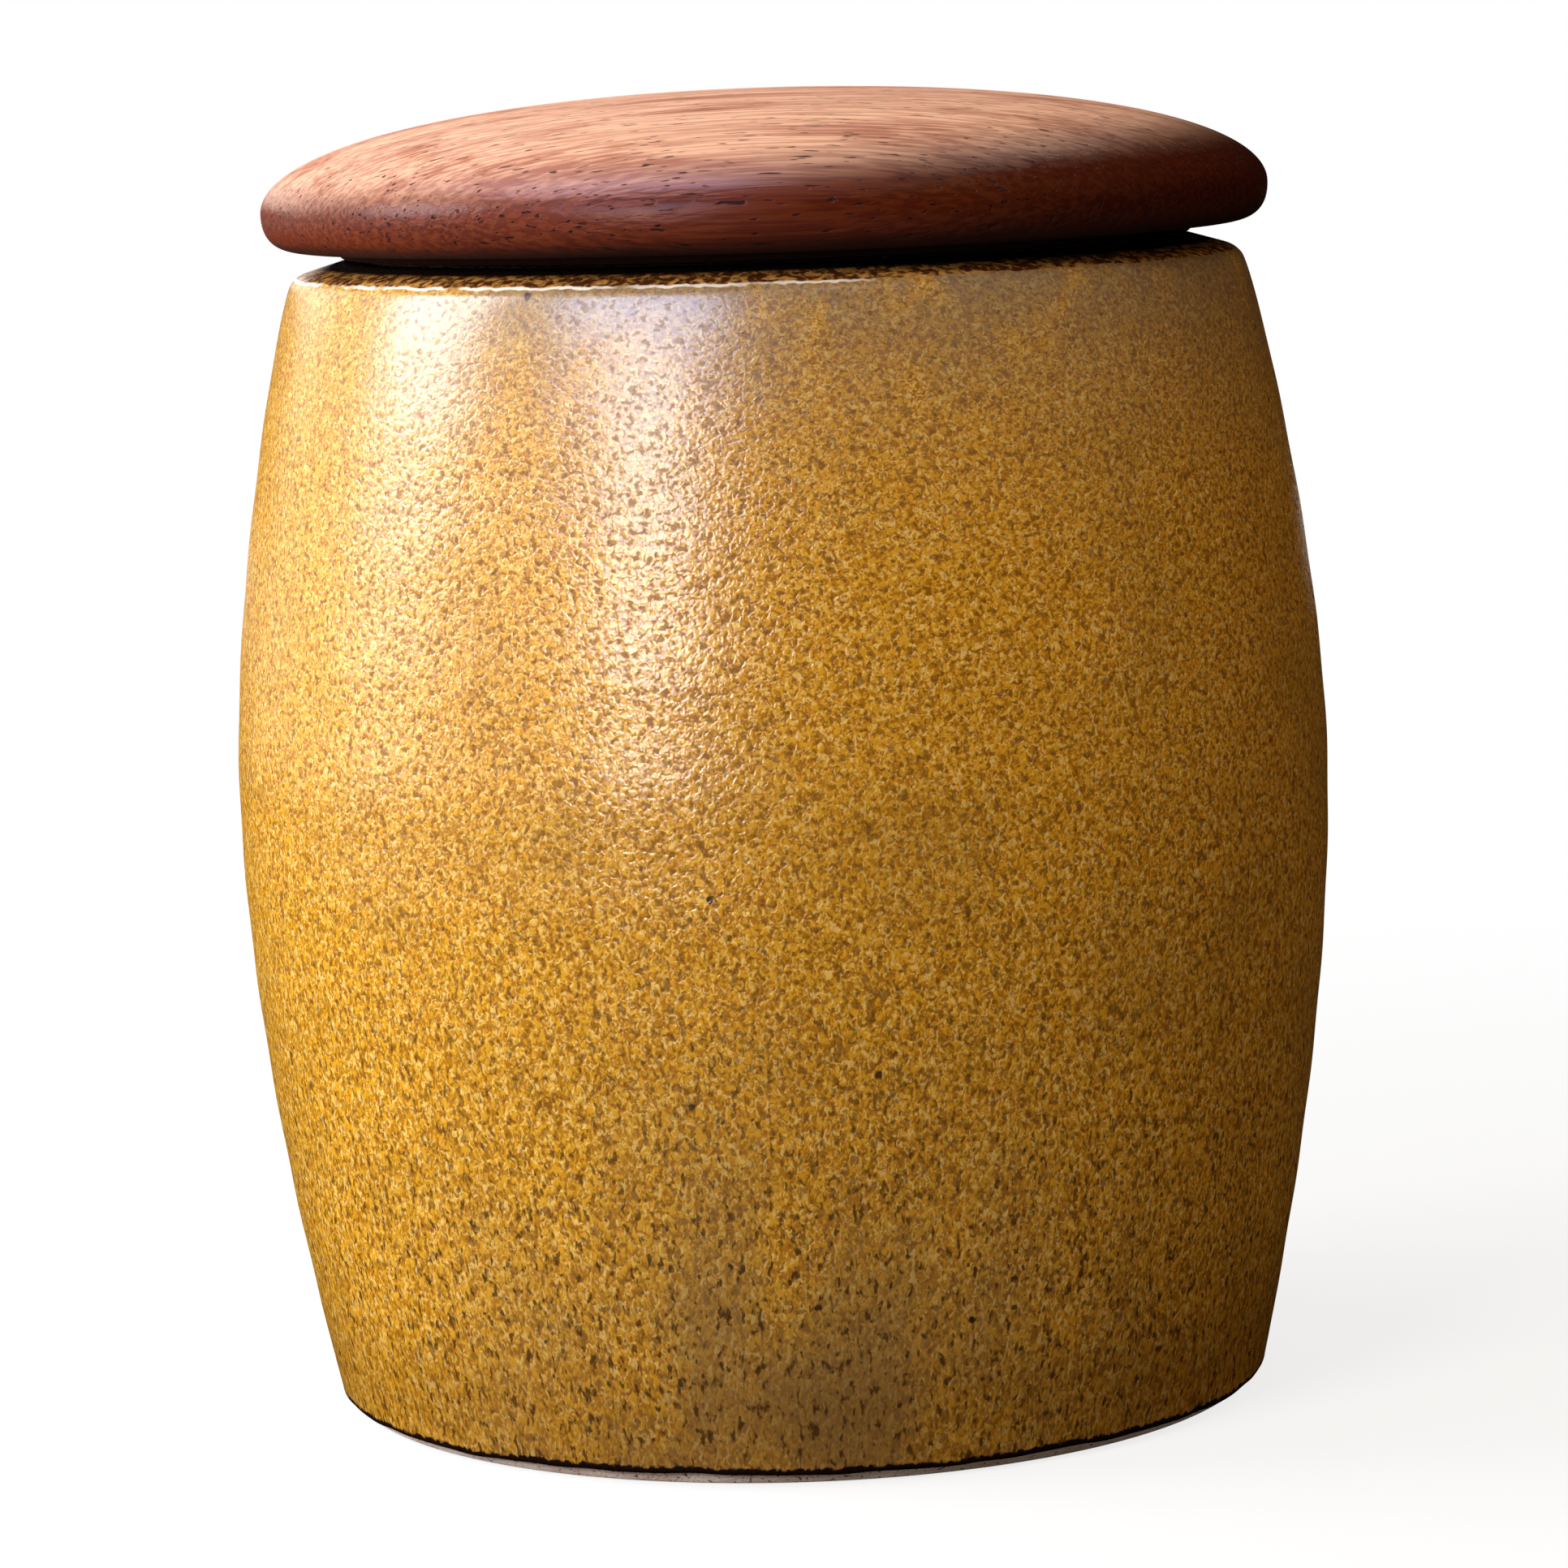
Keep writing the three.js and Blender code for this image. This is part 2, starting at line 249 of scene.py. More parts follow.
def cut(mesh: bpy.types.Mesh, tools: Sequence[bpy.types.Mesh]) -> bpy.types.Mesh:
    """Cut tools out of a closed mesh, and keep the edges of the cuts crisp.

    Args:
        mesh: The mesh to cut, which is removed.
        tools: Closed meshes that don't touch each other, which are removed too.

    Returns:
        The mesh that is left.
    """
    name = mesh.name
    block = bpy.data.objects.new("cut_block", mesh)
    cutter = bpy.data.objects.new("cut_tools", joined("cut_tools", tools))
    for item in (block, cutter):
        bpy.context.scene.collection.objects.link(item)
    boolean = block.modifiers.new("cut", "BOOLEAN")
    boolean.operation = "DIFFERENCE"
    boolean.solver = "EXACT"
    boolean.object = cutter
    graph = bpy.context.evaluated_depsgraph_get()
    result = bpy.data.meshes.new_from_object(block.evaluated_get(graph))
    for item in (block, cutter):
        used = item.data
        bpy.data.objects.remove(item)
        bpy.data.meshes.remove(used)
    result.name = name
    result.shade_smooth()
    result.set_sharp_from_angle(angle=SHARP_ANGLE)
    return result


def block_mesh(name: str, size: Vector) -> bpy.types.Mesh:
    """Make a box about the origin.

    Args:
        name: The mesh's name.
        size: The box's size, in millimetres.

    Returns:
        The mesh, in metres.
    """
    shape = bmesh.new()
    bmesh.ops.create_cube(shape, matrix=Matrix.Diagonal((*(size * MM), 1.0)))
    return as_mesh(name, shape)


def sheet_mesh(name: str, width: float, depth: float) -> bpy.types.Mesh:
    """Make a flat sheet about the origin.

    Args:
        name: The mesh's name.
        width: The sheet's width along X, in metres.
        depth: The sheet's depth along Y, in metres.

    Returns:
        The mesh, in metres.
    """
    shape = bmesh.new()
    size = Matrix.Diagonal((width, depth, 1.0, 1.0))
    bmesh.ops.create_grid(shape, x_segments=1, y_segments=1, size=0.5, matrix=size)
    return as_mesh(name, shape)


def moved(mesh: bpy.types.Mesh, x: float = 0.0, y: float = 0.0, z: float = 0.0) -> bpy.types.Mesh:
    """Move a mesh by millimetres, and return it."""
    mesh.transform(Matrix.Translation(Vector((x, y, z)) * MM))
    return mesh


def add_piece(mesh: bpy.types.Mesh, node: str, body: Body) -> bpy.types.Object:
    """Put a mesh into the scene in place of a CAD node.

    Args:
        mesh: The mesh, in metres and in the frame. Its name becomes the piece's name.
        node: The CAD node that the piece stands for.
        body: The body that the piece rides on.

    Returns:
        The new piece.
    """
    piece = bpy.data.objects.new(mesh.name, mesh)
    bpy.context.scene.collection.objects.link(piece)
    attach(piece, body.value)
    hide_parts(node)
    log.info("%s: %d faces, for %s", piece.name, len(mesh.polygons), node)
    return piece


# Finishes


def linear(colour: str) -> tuple[float, float, float, float]:
    """Turn an sRGB hex colour into linear values.

    Args:
        colour: The colour, such as #B88435.

    Returns:
        Linear red, green and blue, and a full alpha.
    """
    channels = (int(colour[i : i + 2], 16) / 255 for i in (1, 3, 5))
    red, green, blue = (c / 12.92 if c <= 0.04045 else ((c + 0.055) / 1.055) ** 2.4 for c in channels)
    return red, green, blue, 1.0


def add_node(
    tree: bpy.types.NodeTree, kind: str, inputs: Mapping[int | str, object] | None = None, **settings: object
) -> bpy.types.Node:
    """Add a shader node, set its properties, and set or link its inputs.

    Args:
        tree: The node tree that takes the node.
        kind: Blender's name for the node, without the ShaderNode in front.
        inputs: What goes into each input, by its place or its name: a value, a socket, or a node, which
            stands for its first output in use.
        settings: Properties of the node, such as operation.

    Returns:
        The new node.
    """
    node = tree.nodes.new(f"ShaderNode{kind}")
    for setting, value in settings.items():
        setattr(node, setting, value)
    for key, value in (inputs or {}).items():
        named = [socket for socket in node.inputs if socket.enabled and socket.name == key]
        socket = named[0] if named else node.inputs[key]
        if isinstance(value, bpy.types.Node):
            value = next(output for output in value.outputs if output.enabled)
        if isinstance(value, bpy.types.NodeSocket):
            tree.links.new(value, socket)
        else:
            socket.default_value = value
    return node


@dataclass(frozen=True)
class Mottle:
    """A cloudy pattern of a real size.

    Attributes:
        cell: Width, depth and height of one cloud, in millimetres.
        levels: The noise levels of its hollows and its crests. Half of the noise is below 0.5.
        detail: How many finer layers the noise has.
        distortion: How far the noise is drawn out into curls.
        span: What the hollows and the crests give.
    """

    cell: tuple[float, float, float]
    levels: tuple[float, float] = (0.3, 0.7)
    detail: float = 2.0
    distortion: float = 0.0
    span: tuple[float, float] = (0.0, 1.0)

    def add(self, tree: bpy.types.NodeTree, place: bpy.types.NodeSocket) -> bpy.types.Node:
        """Add the pattern's nodes.

        Args:
            tree: The node tree.
            place: The coordinates that the pattern lies in, in metres.

        Returns:
            The node whose output is the pattern.
        """
        put = partial(add_node, tree)
        scale = tuple(1 / (size * MM) for size in self.cell)
        stretched = put("Mapping", {"Vector": place, "Scale": scale})
        settings = {"Vector": stretched, "Scale": 1.0, "Detail": self.detail, "Distortion": self.distortion}
        noise = put("TexNoise", settings)
        low, high = self.levels
        least, most = self.span
        spread = {"Value": noise, "From Min": low, "From Max": high, "To Min": least, "To Max": most}
        return put("MapRange", spread, interpolation_type="SMOOTHSTEP")


def laid_over(tree: bpy.types.NodeTree, ground: str, layers: Sequence[Layer]) -> bpy.types.Node:
    """Lay colours over a ground, one after another.

    Args:
        tree: The node tree.
        ground: The colour under the layers.
        layers: How much of each layer shows, and its colour.

    Returns:
        The node whose output is the colour.
    """
    colour = linear(ground)
    for cover, paint in layers:
        top = linear(paint) if isinstance(paint, str) else paint
        colour = add_node(tree, "Mix", {"Factor": cover, "A": colour, "B": top}, data_type="RGBA")
    return colour


@dataclass(frozen=True)
class Finish:
    """A surface finish that makes its own material."""

    name: str = "finish"

    def material(self) -> bpy.types.Material:
        """Make the material.

        Returns:
            The material, with the finish's shader on its output.
        """
        material = bpy.data.materials.new(self.name)
        material.use_nodes = True
        tree = material.node_tree
        tree.nodes.clear()
        add_node(tree, "OutputMaterial", {"Surface": self.shader(tree)})
        return material

    def shader(self, tree: bpy.types.NodeTree) -> bpy.types.Node:
        """Build the finish's nodes in a tree, and return its shader."""
        raise NotImplementedError


@dataclass(frozen=True)
class OchreGlaze(Finish):
    """Semi-gloss ochre glaze, dipped and fired on stoneware.

    The eye sees small curds on an orange-peel surface, with brown pits that break up the gloss, their dark
    partly the glaze's own and partly painted shade in the hollows, and a few iron spots. Towards the foot the
    curds are drawn out downwards, the specks crowd, and the glaze grows darker and turns smoky. Painted shade
    from the lid, with a painted grey sheen, lies under the shoulder, thinner on the left. A painted highlight
    makes a white line on the shoulder's edge, which ends right of the middle. Above it the glaze breaks to
    speckled brown on the rim, painted black as shadow under the lid, and it pools to almost black above the
    foot.
    """

    name: str = "ochre_stoneware_glaze"
    ochre: str = "#D69A20"
    pale: str = "#F0C873"
    amber: str = "#AC7010"
    pit: str = "#6A3E08"
    umber: str = "#3A2008"
    cloud: str = "#8C6628"
    smoke: str = "#7E623A"
    iron: str = "#2A160A"
    painted_edge_highlight: str = "#E9DACB"
    rim_brown: str = "#4A240E"
    rim_ochre: str = "#BE8640"
    rim_painted_shadow: str = "#120805"
    shoulder_shade_and_sheen: str = "#67625F"
    pool: str = "#160804"
    ior: float = 1.58
    roughness: float = 0.24
    # The pits' dark and dimmer reflection are partly the glaze's own and partly painted shade in the hollows.
    pit_roughness: float = 0.36
    pit_shine: float = 0.3
    pit_levels: tuple[float, float] = (0.44, 0.34)
    pit_share: float = 0.7
    peel_size: float = 0.7
    peel_detail: float = 1.0
    peel_distortion: float = 0.3
    peel_levels: tuple[float, float] = (0.3, 0.7)
    peel_depth: float = 0.042
    calm_foot: float = 108.0
    calm_pits: float = 0.6
    calm_peel: float = 0.2
    curl: float = 0.5
    curds: Mottle = Mottle((0.55, 0.55, 0.55), (0.42, 0.56), 1.5, 0.8)
    crumbs: Mottle = Mottle((0.6, 0.6, 0.6), (0.53, 0.63), 1.5, 1.2, span=(0.0, 0.7))
    specks: Mottle = Mottle((0.65, 0.65, 0.65), (0.6, 0.7), span=(0.0, 0.6))
    runs: Mottle = Mottle((0.65, 0.65, 0.9), (0.55, 0.68))
    run_top: float = 90.0
    run_foot: float = 25.0
    run_stretch: float = 2.0
    run_share: float = 0.85
    clouds: Mottle = Mottle((17.0, 17.0, 22.0), (0.46, 0.72), 3.0, span=(0.0, 0.25))
    drifts: Mottle = Mottle((14.0, 14.0, 26.0), (0.2, 0.66), 3.0)
    smoke_centre: tuple[float, float, float] = (-3.0, -58.0, 4.0)
    smoke_reach: float = 60.0
    smoke_share: float = 0.8
    # Darker towards the foot.
    darkening_top: float = 22.0
    darkening_foot: float = 6.0
    darkening_share: float = 0.34
    # Painted shade from the lid and a painted grey sheen under the shoulder, less of it on the left.
    shade_veil: Mottle = Mottle((6.0, 6.0, 9.0), (0.05, 0.55), 3.0)
    shoulder_shade_foot: float = 95.0
    shoulder_shade_top: float = 129.5
    shoulder_shade_rise: float = 2.2
    shoulder_shade_share: float = 0.82
    shoulder_shade_start: float = -44.0
    shoulder_shade_full: float = -22.0
    shoulder_shade_least: float = 0.3
    shoulder_height: float = 130.2
    # A painted highlight along the shoulder's edge.
    edge_highlight_width: float = 0.18
    edge_highlight_soft: float = 0.1
    edge_highlight_end: float = 9.0
    edge_highlight_fade: float = 3.0
    edge_wander: Mottle = Mottle((1.6, 1.6, 1.6), span=(-0.1 * MM, 0.1 * MM))
    edge_highlight_breaks: Mottle = Mottle((5.0, 5.0, 5.0), (0.3, 0.5), 3.0)
    flecks: Mottle = Mottle((1.1, 1.1, 1.1), (0.42, 0.66), distortion=0.5)
    # Painted shadow under the lid, on the rim's upper part.
    rim_shadow_foot: float = 131.2
    rim_shadow_rise: float = 0.2
    iron_spots: tuple[tuple[float, float, float], ...] = (
        (-8.2, -62.3, 65.8),
        (-25.5, -48.1, 129.3),
        (-11.0, -60.2, 43.3),
        (1.7, -57.8, 20.7),
    )
    iron_size: float = 0.5
    iron_soft: float = 1.6
    iron_share: float = 0.9
    iron_spacing: float = 16.0
    iron_wander: Mottle = Mottle((0.7, 0.7, 0.7), span=(0.0, 0.4 * MM))
    pool_height: float = 0.75
    pool_soft: float = 0.25
    pool_wander: Mottle = Mottle((0.9, 0.9, 1.2), span=(-0.2, 0.2))

    def shader(self, tree: bpy.types.NodeTree) -> bpy.types.Node:
        """Build the glaze's nodes.

        Args:
            tree: The material's node tree.

        Returns:
            The glaze's shader.
        """
        put = partial(add_node, tree)
        place = put("TexCoord").outputs["Object"]
        curled = self.curled_place(tree, place)
        grain = {"Detail": self.peel_detail, "Distortion": self.peel_distortion}
        peel = put("TexNoise", {"Vector": curled, "Scale": 1 / (self.peel_size * MM), **grain})
        height = put("SeparateXYZ", {"Vector": place}).outputs["Z"]
        top = {"Value": height, "From Min": self.calm_foot * MM, "From Max": self.shoulder_shade_top * MM}
        calm = put("MapRange", {**top, "To Min": 1.0, "To Max": self.calm_pits})
        smooth = put("MapRange", {**top, "To Min": 1.0, "To Max": self.calm_peel})
        # The pits' dark and dimmer reflection are partly the glaze's own and partly painted shade in the
        # hollows.
        pit_start, pit_full = self.pit_levels
        pits = put("MapRange", {"Value": peel, "From Min": pit_start, "From Max": pit_full, "To Max": calm})
        low, high = self.peel_levels
        lumps = {"Value": peel, "From Min": low, "From Max": high}
        lumps = put("MapRange", lumps, interpolation_type="SMOOTHSTEP")
        layers = (
            *self.curd_layers(tree, curled, pits),
            *self.cloud_layers(tree, place),
            *self.speck_layers(tree, place, curled),
            *self.rim_layers(tree, place),
            (self.iron_cover(tree, place), self.iron),
            (self.pool_cover(tree, place), self.pool),
        )
        gloss = {"Value": pits, "To Min": self.roughness, "To Max": self.pit_roughness}
        look = {
            "Base Color": laid_over(tree, self.amber, layers),
            "Roughness": put("MapRange", gloss),
            "IOR": self.ior,
            "Specular Tint": put("MapRange", {"Value": pits, "To Min": 1.0, "To Max": self.pit_shine}),
            "Normal": put("Bump", {"Height": lumps, "Distance": self.peel_depth * MM, "Strength": smooth}),
        }
        return put("BsdfPrincipled", look)

    def curled_place(self, tree: bpy.types.NodeTree, place: bpy.types.NodeSocket) -> bpy.types.NodeSocket:
        """Draw the coordinates out downwards towards the foot, and curl them.

        Args:
            tree: The node tree.
            place: The object's own coordinates.

        Returns:
            The coordinates that the curds lie in.
        """
        put = partial(add_node, tree)
        part = put("SeparateXYZ", {"Vector": place}).outputs
        foot_share = 1 / self.run_stretch
        gain = (1 - foot_share) / (2 * self.run_top * MM)
        rate = put("Math", {0: part["Z"], 1: gain, 2: foot_share}, operation="MULTIPLY_ADD")
        drawn = put("Math", {0: part["Z"], 1: rate}, operation="MULTIPLY")
        stretched = put("CombineXYZ", {"X": part["X"], "Y": part["Y"], "Z": drawn})
        noise = {"Vector": stretched, "Scale": 1 / (self.peel_size * MM), "Detail": self.peel_detail}
        curl = put("TexNoise", noise).outputs["Color"]
        curled = {0: curl, 1: (self.curl * MM,) * 3, 2: stretched}
        return put("VectorMath", curled, operation="MULTIPLY_ADD").outputs["Vector"]

    def curd_layers(
        self, tree: bpy.types.NodeTree, curled: bpy.types.NodeSocket, pits: bpy.types.Node
    ) -> tuple[Layer, ...]:
        """Mix ochre and pale curds into the amber, and darken the pits, partly as painted shade.

        Args:
            tree: The node tree.
            curled: The coordinates that the curds lie in.
            pits: The pattern of the pits.

        Returns:
            How much of each colour shows, and the colour.
        """
        curds = self.curds.add(tree, curled)
        crumbs = self.crumbs.add(tree, curled)
        dark = add_node(tree, "Math", {0: pits, 1: self.pit_share}, operation="MULTIPLY")
        return (curds, self.ochre), (crumbs, self.pale), (dark, self.pit)

    def speck_layers(
        self, tree: bpy.types.NodeTree, place: bpy.types.NodeSocket, curled: bpy.types.NodeSocket
    ) -> tuple[Layer, ...]:
        """Add brown specks, and more of them towards the foot.

        Args:
            tree: The node tree.
            place: The object's own coordinates.
            curled: The coordinates that the curds lie in.

        Returns:
            How much of each colour shows, and the colour.
        """
        put = partial(add_node, tree)
        height = put("SeparateXYZ", {"Vector": place}).outputs["Z"]
        low = {"Value": height, "From Min": self.run_top * MM, "From Max": self.run_foot * MM}
        lowness = put("MapRange", {**low, "To Max": self.run_share})
        runs = put("Math", {0: self.runs.add(tree, curled), 1: lowness}, operation="MULTIPLY")
        return (self.specks.add(tree, curled), self.pit), (runs, self.umber)

    def cloud_layers(self, tree: bpy.types.NodeTree, place: bpy.types.NodeSocket) -> tuple[Layer, ...]:
        """Lay faint clouds all over, smoke and darker glaze low down, and under the shoulder painted shade
        from the lid with a painted grey sheen, less of it on the left.

        Args:
            tree: The node tree.
            place: The object's own coordinates.

        Returns:
            How much of each colour shows, and the colour.
        """
        put = partial(add_node, tree)
        part = put("SeparateXYZ", {"Vector": place}).outputs
        centre = tuple(side * MM for side in self.smoke_centre)
        away = put("VectorMath", {0: place, 1: centre}, operation="DISTANCE")
        near = {"Value": away, "From Min": self.smoke_reach * MM, "From Max": 0.0}
        nearness = put("MapRange", {**near, "To Max": self.smoke_share}, interpolation_type="SMOOTHSTEP")
        smoke = put("Math", {0: self.drifts.add(tree, place), 1: nearness}, operation="MULTIPLY")
        # Darker towards the foot.
        low = {"Value": part["Z"], "From Min": self.darkening_top * MM, "From Max": self.darkening_foot * MM}
        low_darkening = put("MapRange", {**low, "To Max": self.darkening_share}, interpolation_type="SMOOTHSTEP")
        # Painted shade from the lid and a painted sheen under the shoulder, growing upwards and thinner on the
        # left.
        rise = {"Value": part["Z"], "From Min": self.shoulder_shade_foot * MM, "From Max": self.shoulder_shade_top * MM}
        high = put("MapRange", {**rise, "To Max": self.shoulder_shade_share})
        highness = put("Math", {0: high, 1: self.shoulder_shade_rise}, operation="POWER")
        across = {"Value": part["X"], "From Min": self.shoulder_shade_start * MM, "From Max": self.shoulder_shade_full * MM}
        side = put("MapRange", {**across, "To Min": self.shoulder_shade_least}, interpolation_type="SMOOTHSTEP")
        shade_veil = put("Math", {0: self.shade_veil.add(tree, place), 1: highness}, operation="MULTIPLY")
        shade_veil = put("Math", {0: shade_veil, 1: side}, operation="MULTIPLY")
        clouds = self.clouds.add(tree, place)
        return (clouds, self.cloud), (smoke, self.smoke), (low_darkening, self.pit), (shade_veil, self.shoulder_shade_and_sheen)

    def rim_layers(self, tree: bpy.types.NodeTree, place: bpy.types.NodeSocket) -> tuple[Layer, ...]:
        """Paint a white highlight line on the shoulder's edge, and break the glaze to speckled brown above it.

        Args:
            tree: The node tree.
            place: The object's own coordinates.

        Returns:
            How much of each colour shows, and the colour.
        """
        put = partial(add_node, tree)
        part = put("SeparateXYZ", {"Vector": place}).outputs
        # Painted shadow: the rim turns black towards its top, under the lid.
        rim_shadow_top = self.rim_shadow_foot + self.rim_shadow_rise
        rise = {"Value": part["Z"], "From Min": self.rim_shadow_foot * MM, "From Max": rim_shadow_top * MM}
        speckled = ((self.flecks.add(tree, place), self.rim_ochre), (put("MapRange", rise), self.rim_painted_shadow))
        broken = laid_over(tree, self.rim_brown, speckled)
        level = put("Math", {0: part["Z"], 1: self.edge_wander.add(tree, place)}, operation="ADD")
        # The white line is a painted highlight, which ends right of the middle.
        line_top = self.shoulder_height * MM
        line_foot = line_top - self.edge_highlight_width * MM
        soft = self.edge_highlight_soft * MM
        line = put("MapRange", {"Value": level, "From Min": line_foot - soft, "From Max": line_foot})
        line = put("Math", {0: line, 1: self.edge_highlight_breaks.add(tree, place)}, operation="MULTIPLY")
        highlight_end = {"From Min": (self.edge_highlight_end + self.edge_highlight_fade) * MM, "From Max": self.edge_highlight_end * MM}
        left = put("MapRange", {"Value": part["X"], **highlight_end})
        line = put("Math", {0: line, 1: left}, operation="MULTIPLY")
        above = put("MapRange", {"Value": level, "From Min": line_top, "From Max": line_top + soft})
        return (line, self.painted_edge_highlight), (above, broken)

    def iron_cover(self, tree: bpy.types.NodeTree, place: bpy.types.NodeSocket) -> bpy.types.Node:
        """Place the iron spots that burn through: a few in known places, and others scattered all round.

        Args:
            tree: The node tree.
            place: The object's own coordinates.

        Returns:
            The node whose output is how much of the iron shows.
        """
        put = partial(add_node, tree)
        spacing = self.iron_spacing * MM
        scattered = put("TexVoronoi", {"Vector": place, "Scale": 1 / spacing}).outputs["Distance"]
        nearest = put("Math", {0: scattered, 1: spacing}, operation="MULTIPLY")
        for spot in self.iron_spots:
            centre = tuple(side * MM for side in spot)
            away = put("VectorMath", {0: place, 1: centre}, operation="DISTANCE")
            nearest = put("Math", {0: nearest, 1: away}, operation="MINIMUM")
        reach = put("Math", {0: nearest, 1: self.iron_wander.add(tree, place)}, operation="ADD")
        size = self.iron_size * MM
        burnt = {"Value": reach, "From Min": size, "From Max": self.iron_soft * size}
        return put("MapRange", {**burnt, "To Min": self.iron_share, "To Max": 0.0})

    def pool_cover(self, tree: bpy.types.NodeTree, place: bpy.types.NodeSocket) -> bpy.types.Node:
        """Find where the glaze pools above its lower edge.

        Args:
            tree: The node tree.
            place: The object's own coordinates.

        Returns:
            The node whose output is how much of the pool shows.
        """
        put = partial(add_node, tree)
        rise = put("Attribute", attribute_name=Jar.EDGE_ATTRIBUTE).outputs["Fac"]
        level = put("Math", {0: rise, 1: self.pool_wander.add(tree, place)}, operation="ADD")
        pool_top = self.pool_height + self.pool_soft
        pooled = {"Value": level, "From Min": self.pool_height, "From Max": pool_top}
        return put("MapRange", {**pooled, "To Min": 1.0, "To Max": 0.0})


@dataclass(frozen=True)
class MottledFinish(Finish):
    """A finish of cloudy colours over a ground, with a fine grain.

    Attributes:
        ground: The colour under the clouds.
        clouds: The clouds, each a pattern and a colour.
        grain: The pattern that stands up from the surface.
        grain_depth: How far the grain stands up, in millimetres.
        roughness: The roughness between the first clouds.
        cloud_roughness: The roughness of the first clouds, or none where it is the same.
        metallic: 1 for a metal.
        specular: The strength of the shine.
        sheen: The strength of a fibrous surface's soft shine.
    """

    ground: str = "#808080"
    clouds: tuple[tuple[Mottle, str], ...] = ()
    grain: Mottle = Mottle((1.0, 1.0, 1.0))
    grain_depth: float = 0.05
    roughness: float = 0.5
    cloud_roughness: float | None = None
    metallic: float = 0.0
    specular: float = 0.5
    sheen: float = 0.0

    def shader(self, tree: bpy.types.NodeTree) -> bpy.types.Node:
        """Build the finish's nodes.

        Args:
            tree: The material's node tree.

        Returns:
            The finish's shader.
        """
        put = partial(add_node, tree)
        place = put("TexCoord").outputs["Object"]
        layers = [(cloud.add(tree, place), colour) for cloud, colour in self.clouds]
        roughness = self.roughness
        if self.cloud_roughness is not None:
            spread = {"Value": layers[0][0], "To Min": self.roughness, "To Max": self.cloud_roughness}
            roughness = put("MapRange", spread)
        grain = self.grain.add(tree, place)
        look = {
            "Base Color": laid_over(tree, self.ground, layers),
            "Metallic": self.metallic,
            "Roughness": roughness,
            "Specular IOR Level": self.specular,
            "Sheen Weight": self.sheen,
            "Normal": put("Bump", {"Height": grain, "Distance": self.grain_depth * MM}),
        }
        return put("BsdfPrincipled", look)


@dataclass(frozen=True)
class LinerGlaze(MottledFinish):
    """Glossy brown liner glaze, poured and fired inside the jar.

    The eye sees a deep even brown with dark specks, which pales to amber where it thins.
    """

    name: str = "brown_liner_glaze"
    ground: str = "#4B2A15"
    clouds: tuple[tuple[Mottle, str], ...] = (
        (Mottle((9.0, 9.0, 2.5), (0.42, 0.72), 3.0), "#7A4A20"),
        (Mottle((0.8, 0.8, 0.8), (0.6, 0.7)), "#24120A"),
    )
    grain: Mottle = Mottle((1.4, 1.4, 1.4), detail=1.0)
    roughness: float = 0.2
    cloud_roughness: float | None = 0.32


@dataclass(frozen=True)
class BareStoneware(MottledFinish):
    """Unglazed stoneware, turned at the foot and fired.

    The eye sees a dry pinkish-grey clay with toasted patches and fine dark grog.
    """

    name: str = "bare_stoneware"
    ground: str = "#F2DCCD"
    clouds: tuple[tuple[Mottle, str], ...] = (
        (Mottle((8.0, 8.0, 3.0), (0.45, 0.7), 3.0), "#DEC0AC"),
        (Mottle((0.5, 0.5, 0.5), (0.6, 0.68)), "#6B574A"),
    )
    grain: Mottle = Mottle((0.35, 0.35, 0.35), detail=4.0)
    roughness: float = 0.85
    specular: float = 0.3


@dataclass(frozen=True)
class MouldedRubber(MottledFinish):
    """Dark rubber, moulded with a fine matt grain.

    The eye sees an even near-black with a dusting that greys its ribs.
    """

    name: str = "moulded_rubber"
    ground: str = "#26211E"
    clouds: tuple[tuple[Mottle, str], ...] = ((Mottle((6.0, 6.0, 1.5), (0.48, 0.8), 4.0), "#4B443E"),)
    grain: Mottle = Mottle((0.3, 0.3, 0.3))
    grain_depth: float = 0.02
    roughness: float = 0.55
    cloud_roughness: float | None = 0.8


@dataclass(frozen=True)
class DulledBrass(MottledFinish):
    """Brass, drawn or machined round its axis and dulled by handling.

    The eye sees a soft yellow metal with fine tool lines, and brown tarnish in patches.
    """

    name: str = "drawn_brass"
    ground: str = "#C49A52"
    clouds: tuple[tuple[Mottle, str], ...] = ((Mottle((7.0, 7.0, 7.0), (0.45, 0.75), 4.0), "#7C5A2C"),)
    grain: Mottle = Mottle((5.0, 5.0, 0.25))
    grain_depth: float = 0.01
    roughness: float = 0.28
    cloud_roughness: float | None = 0.5
    metallic: float = 1.0


@dataclass(frozen=True)
class PressedFelt(MottledFinish):
    """Pale wool felt, pressed and cut to a disc.

    The eye sees matted fibres, faint stains where it has been wetted, and a soft sheen.
    """

    name: str = "pressed_felt"
    ground: str = "#A9987A"
    # Wool fibres are near 0.03 mm thick, and are drawn as matted strands ten times that so that they show.
    grain: Mottle = Mottle((0.35, 0.9, 0.3), (0.35, 0.65), 3.0, 2.0)
    clouds: tuple[tuple[Mottle, str], ...] = (
        (grain, "#D6C9AE"),
        (Mottle((9.0, 9.0, 9.0), (0.5, 0.8), 3.0), "#B79B6C"),
    )
    grain_depth: float = 0.15
    roughness: float = 0.95
    sheen: float = 0.25


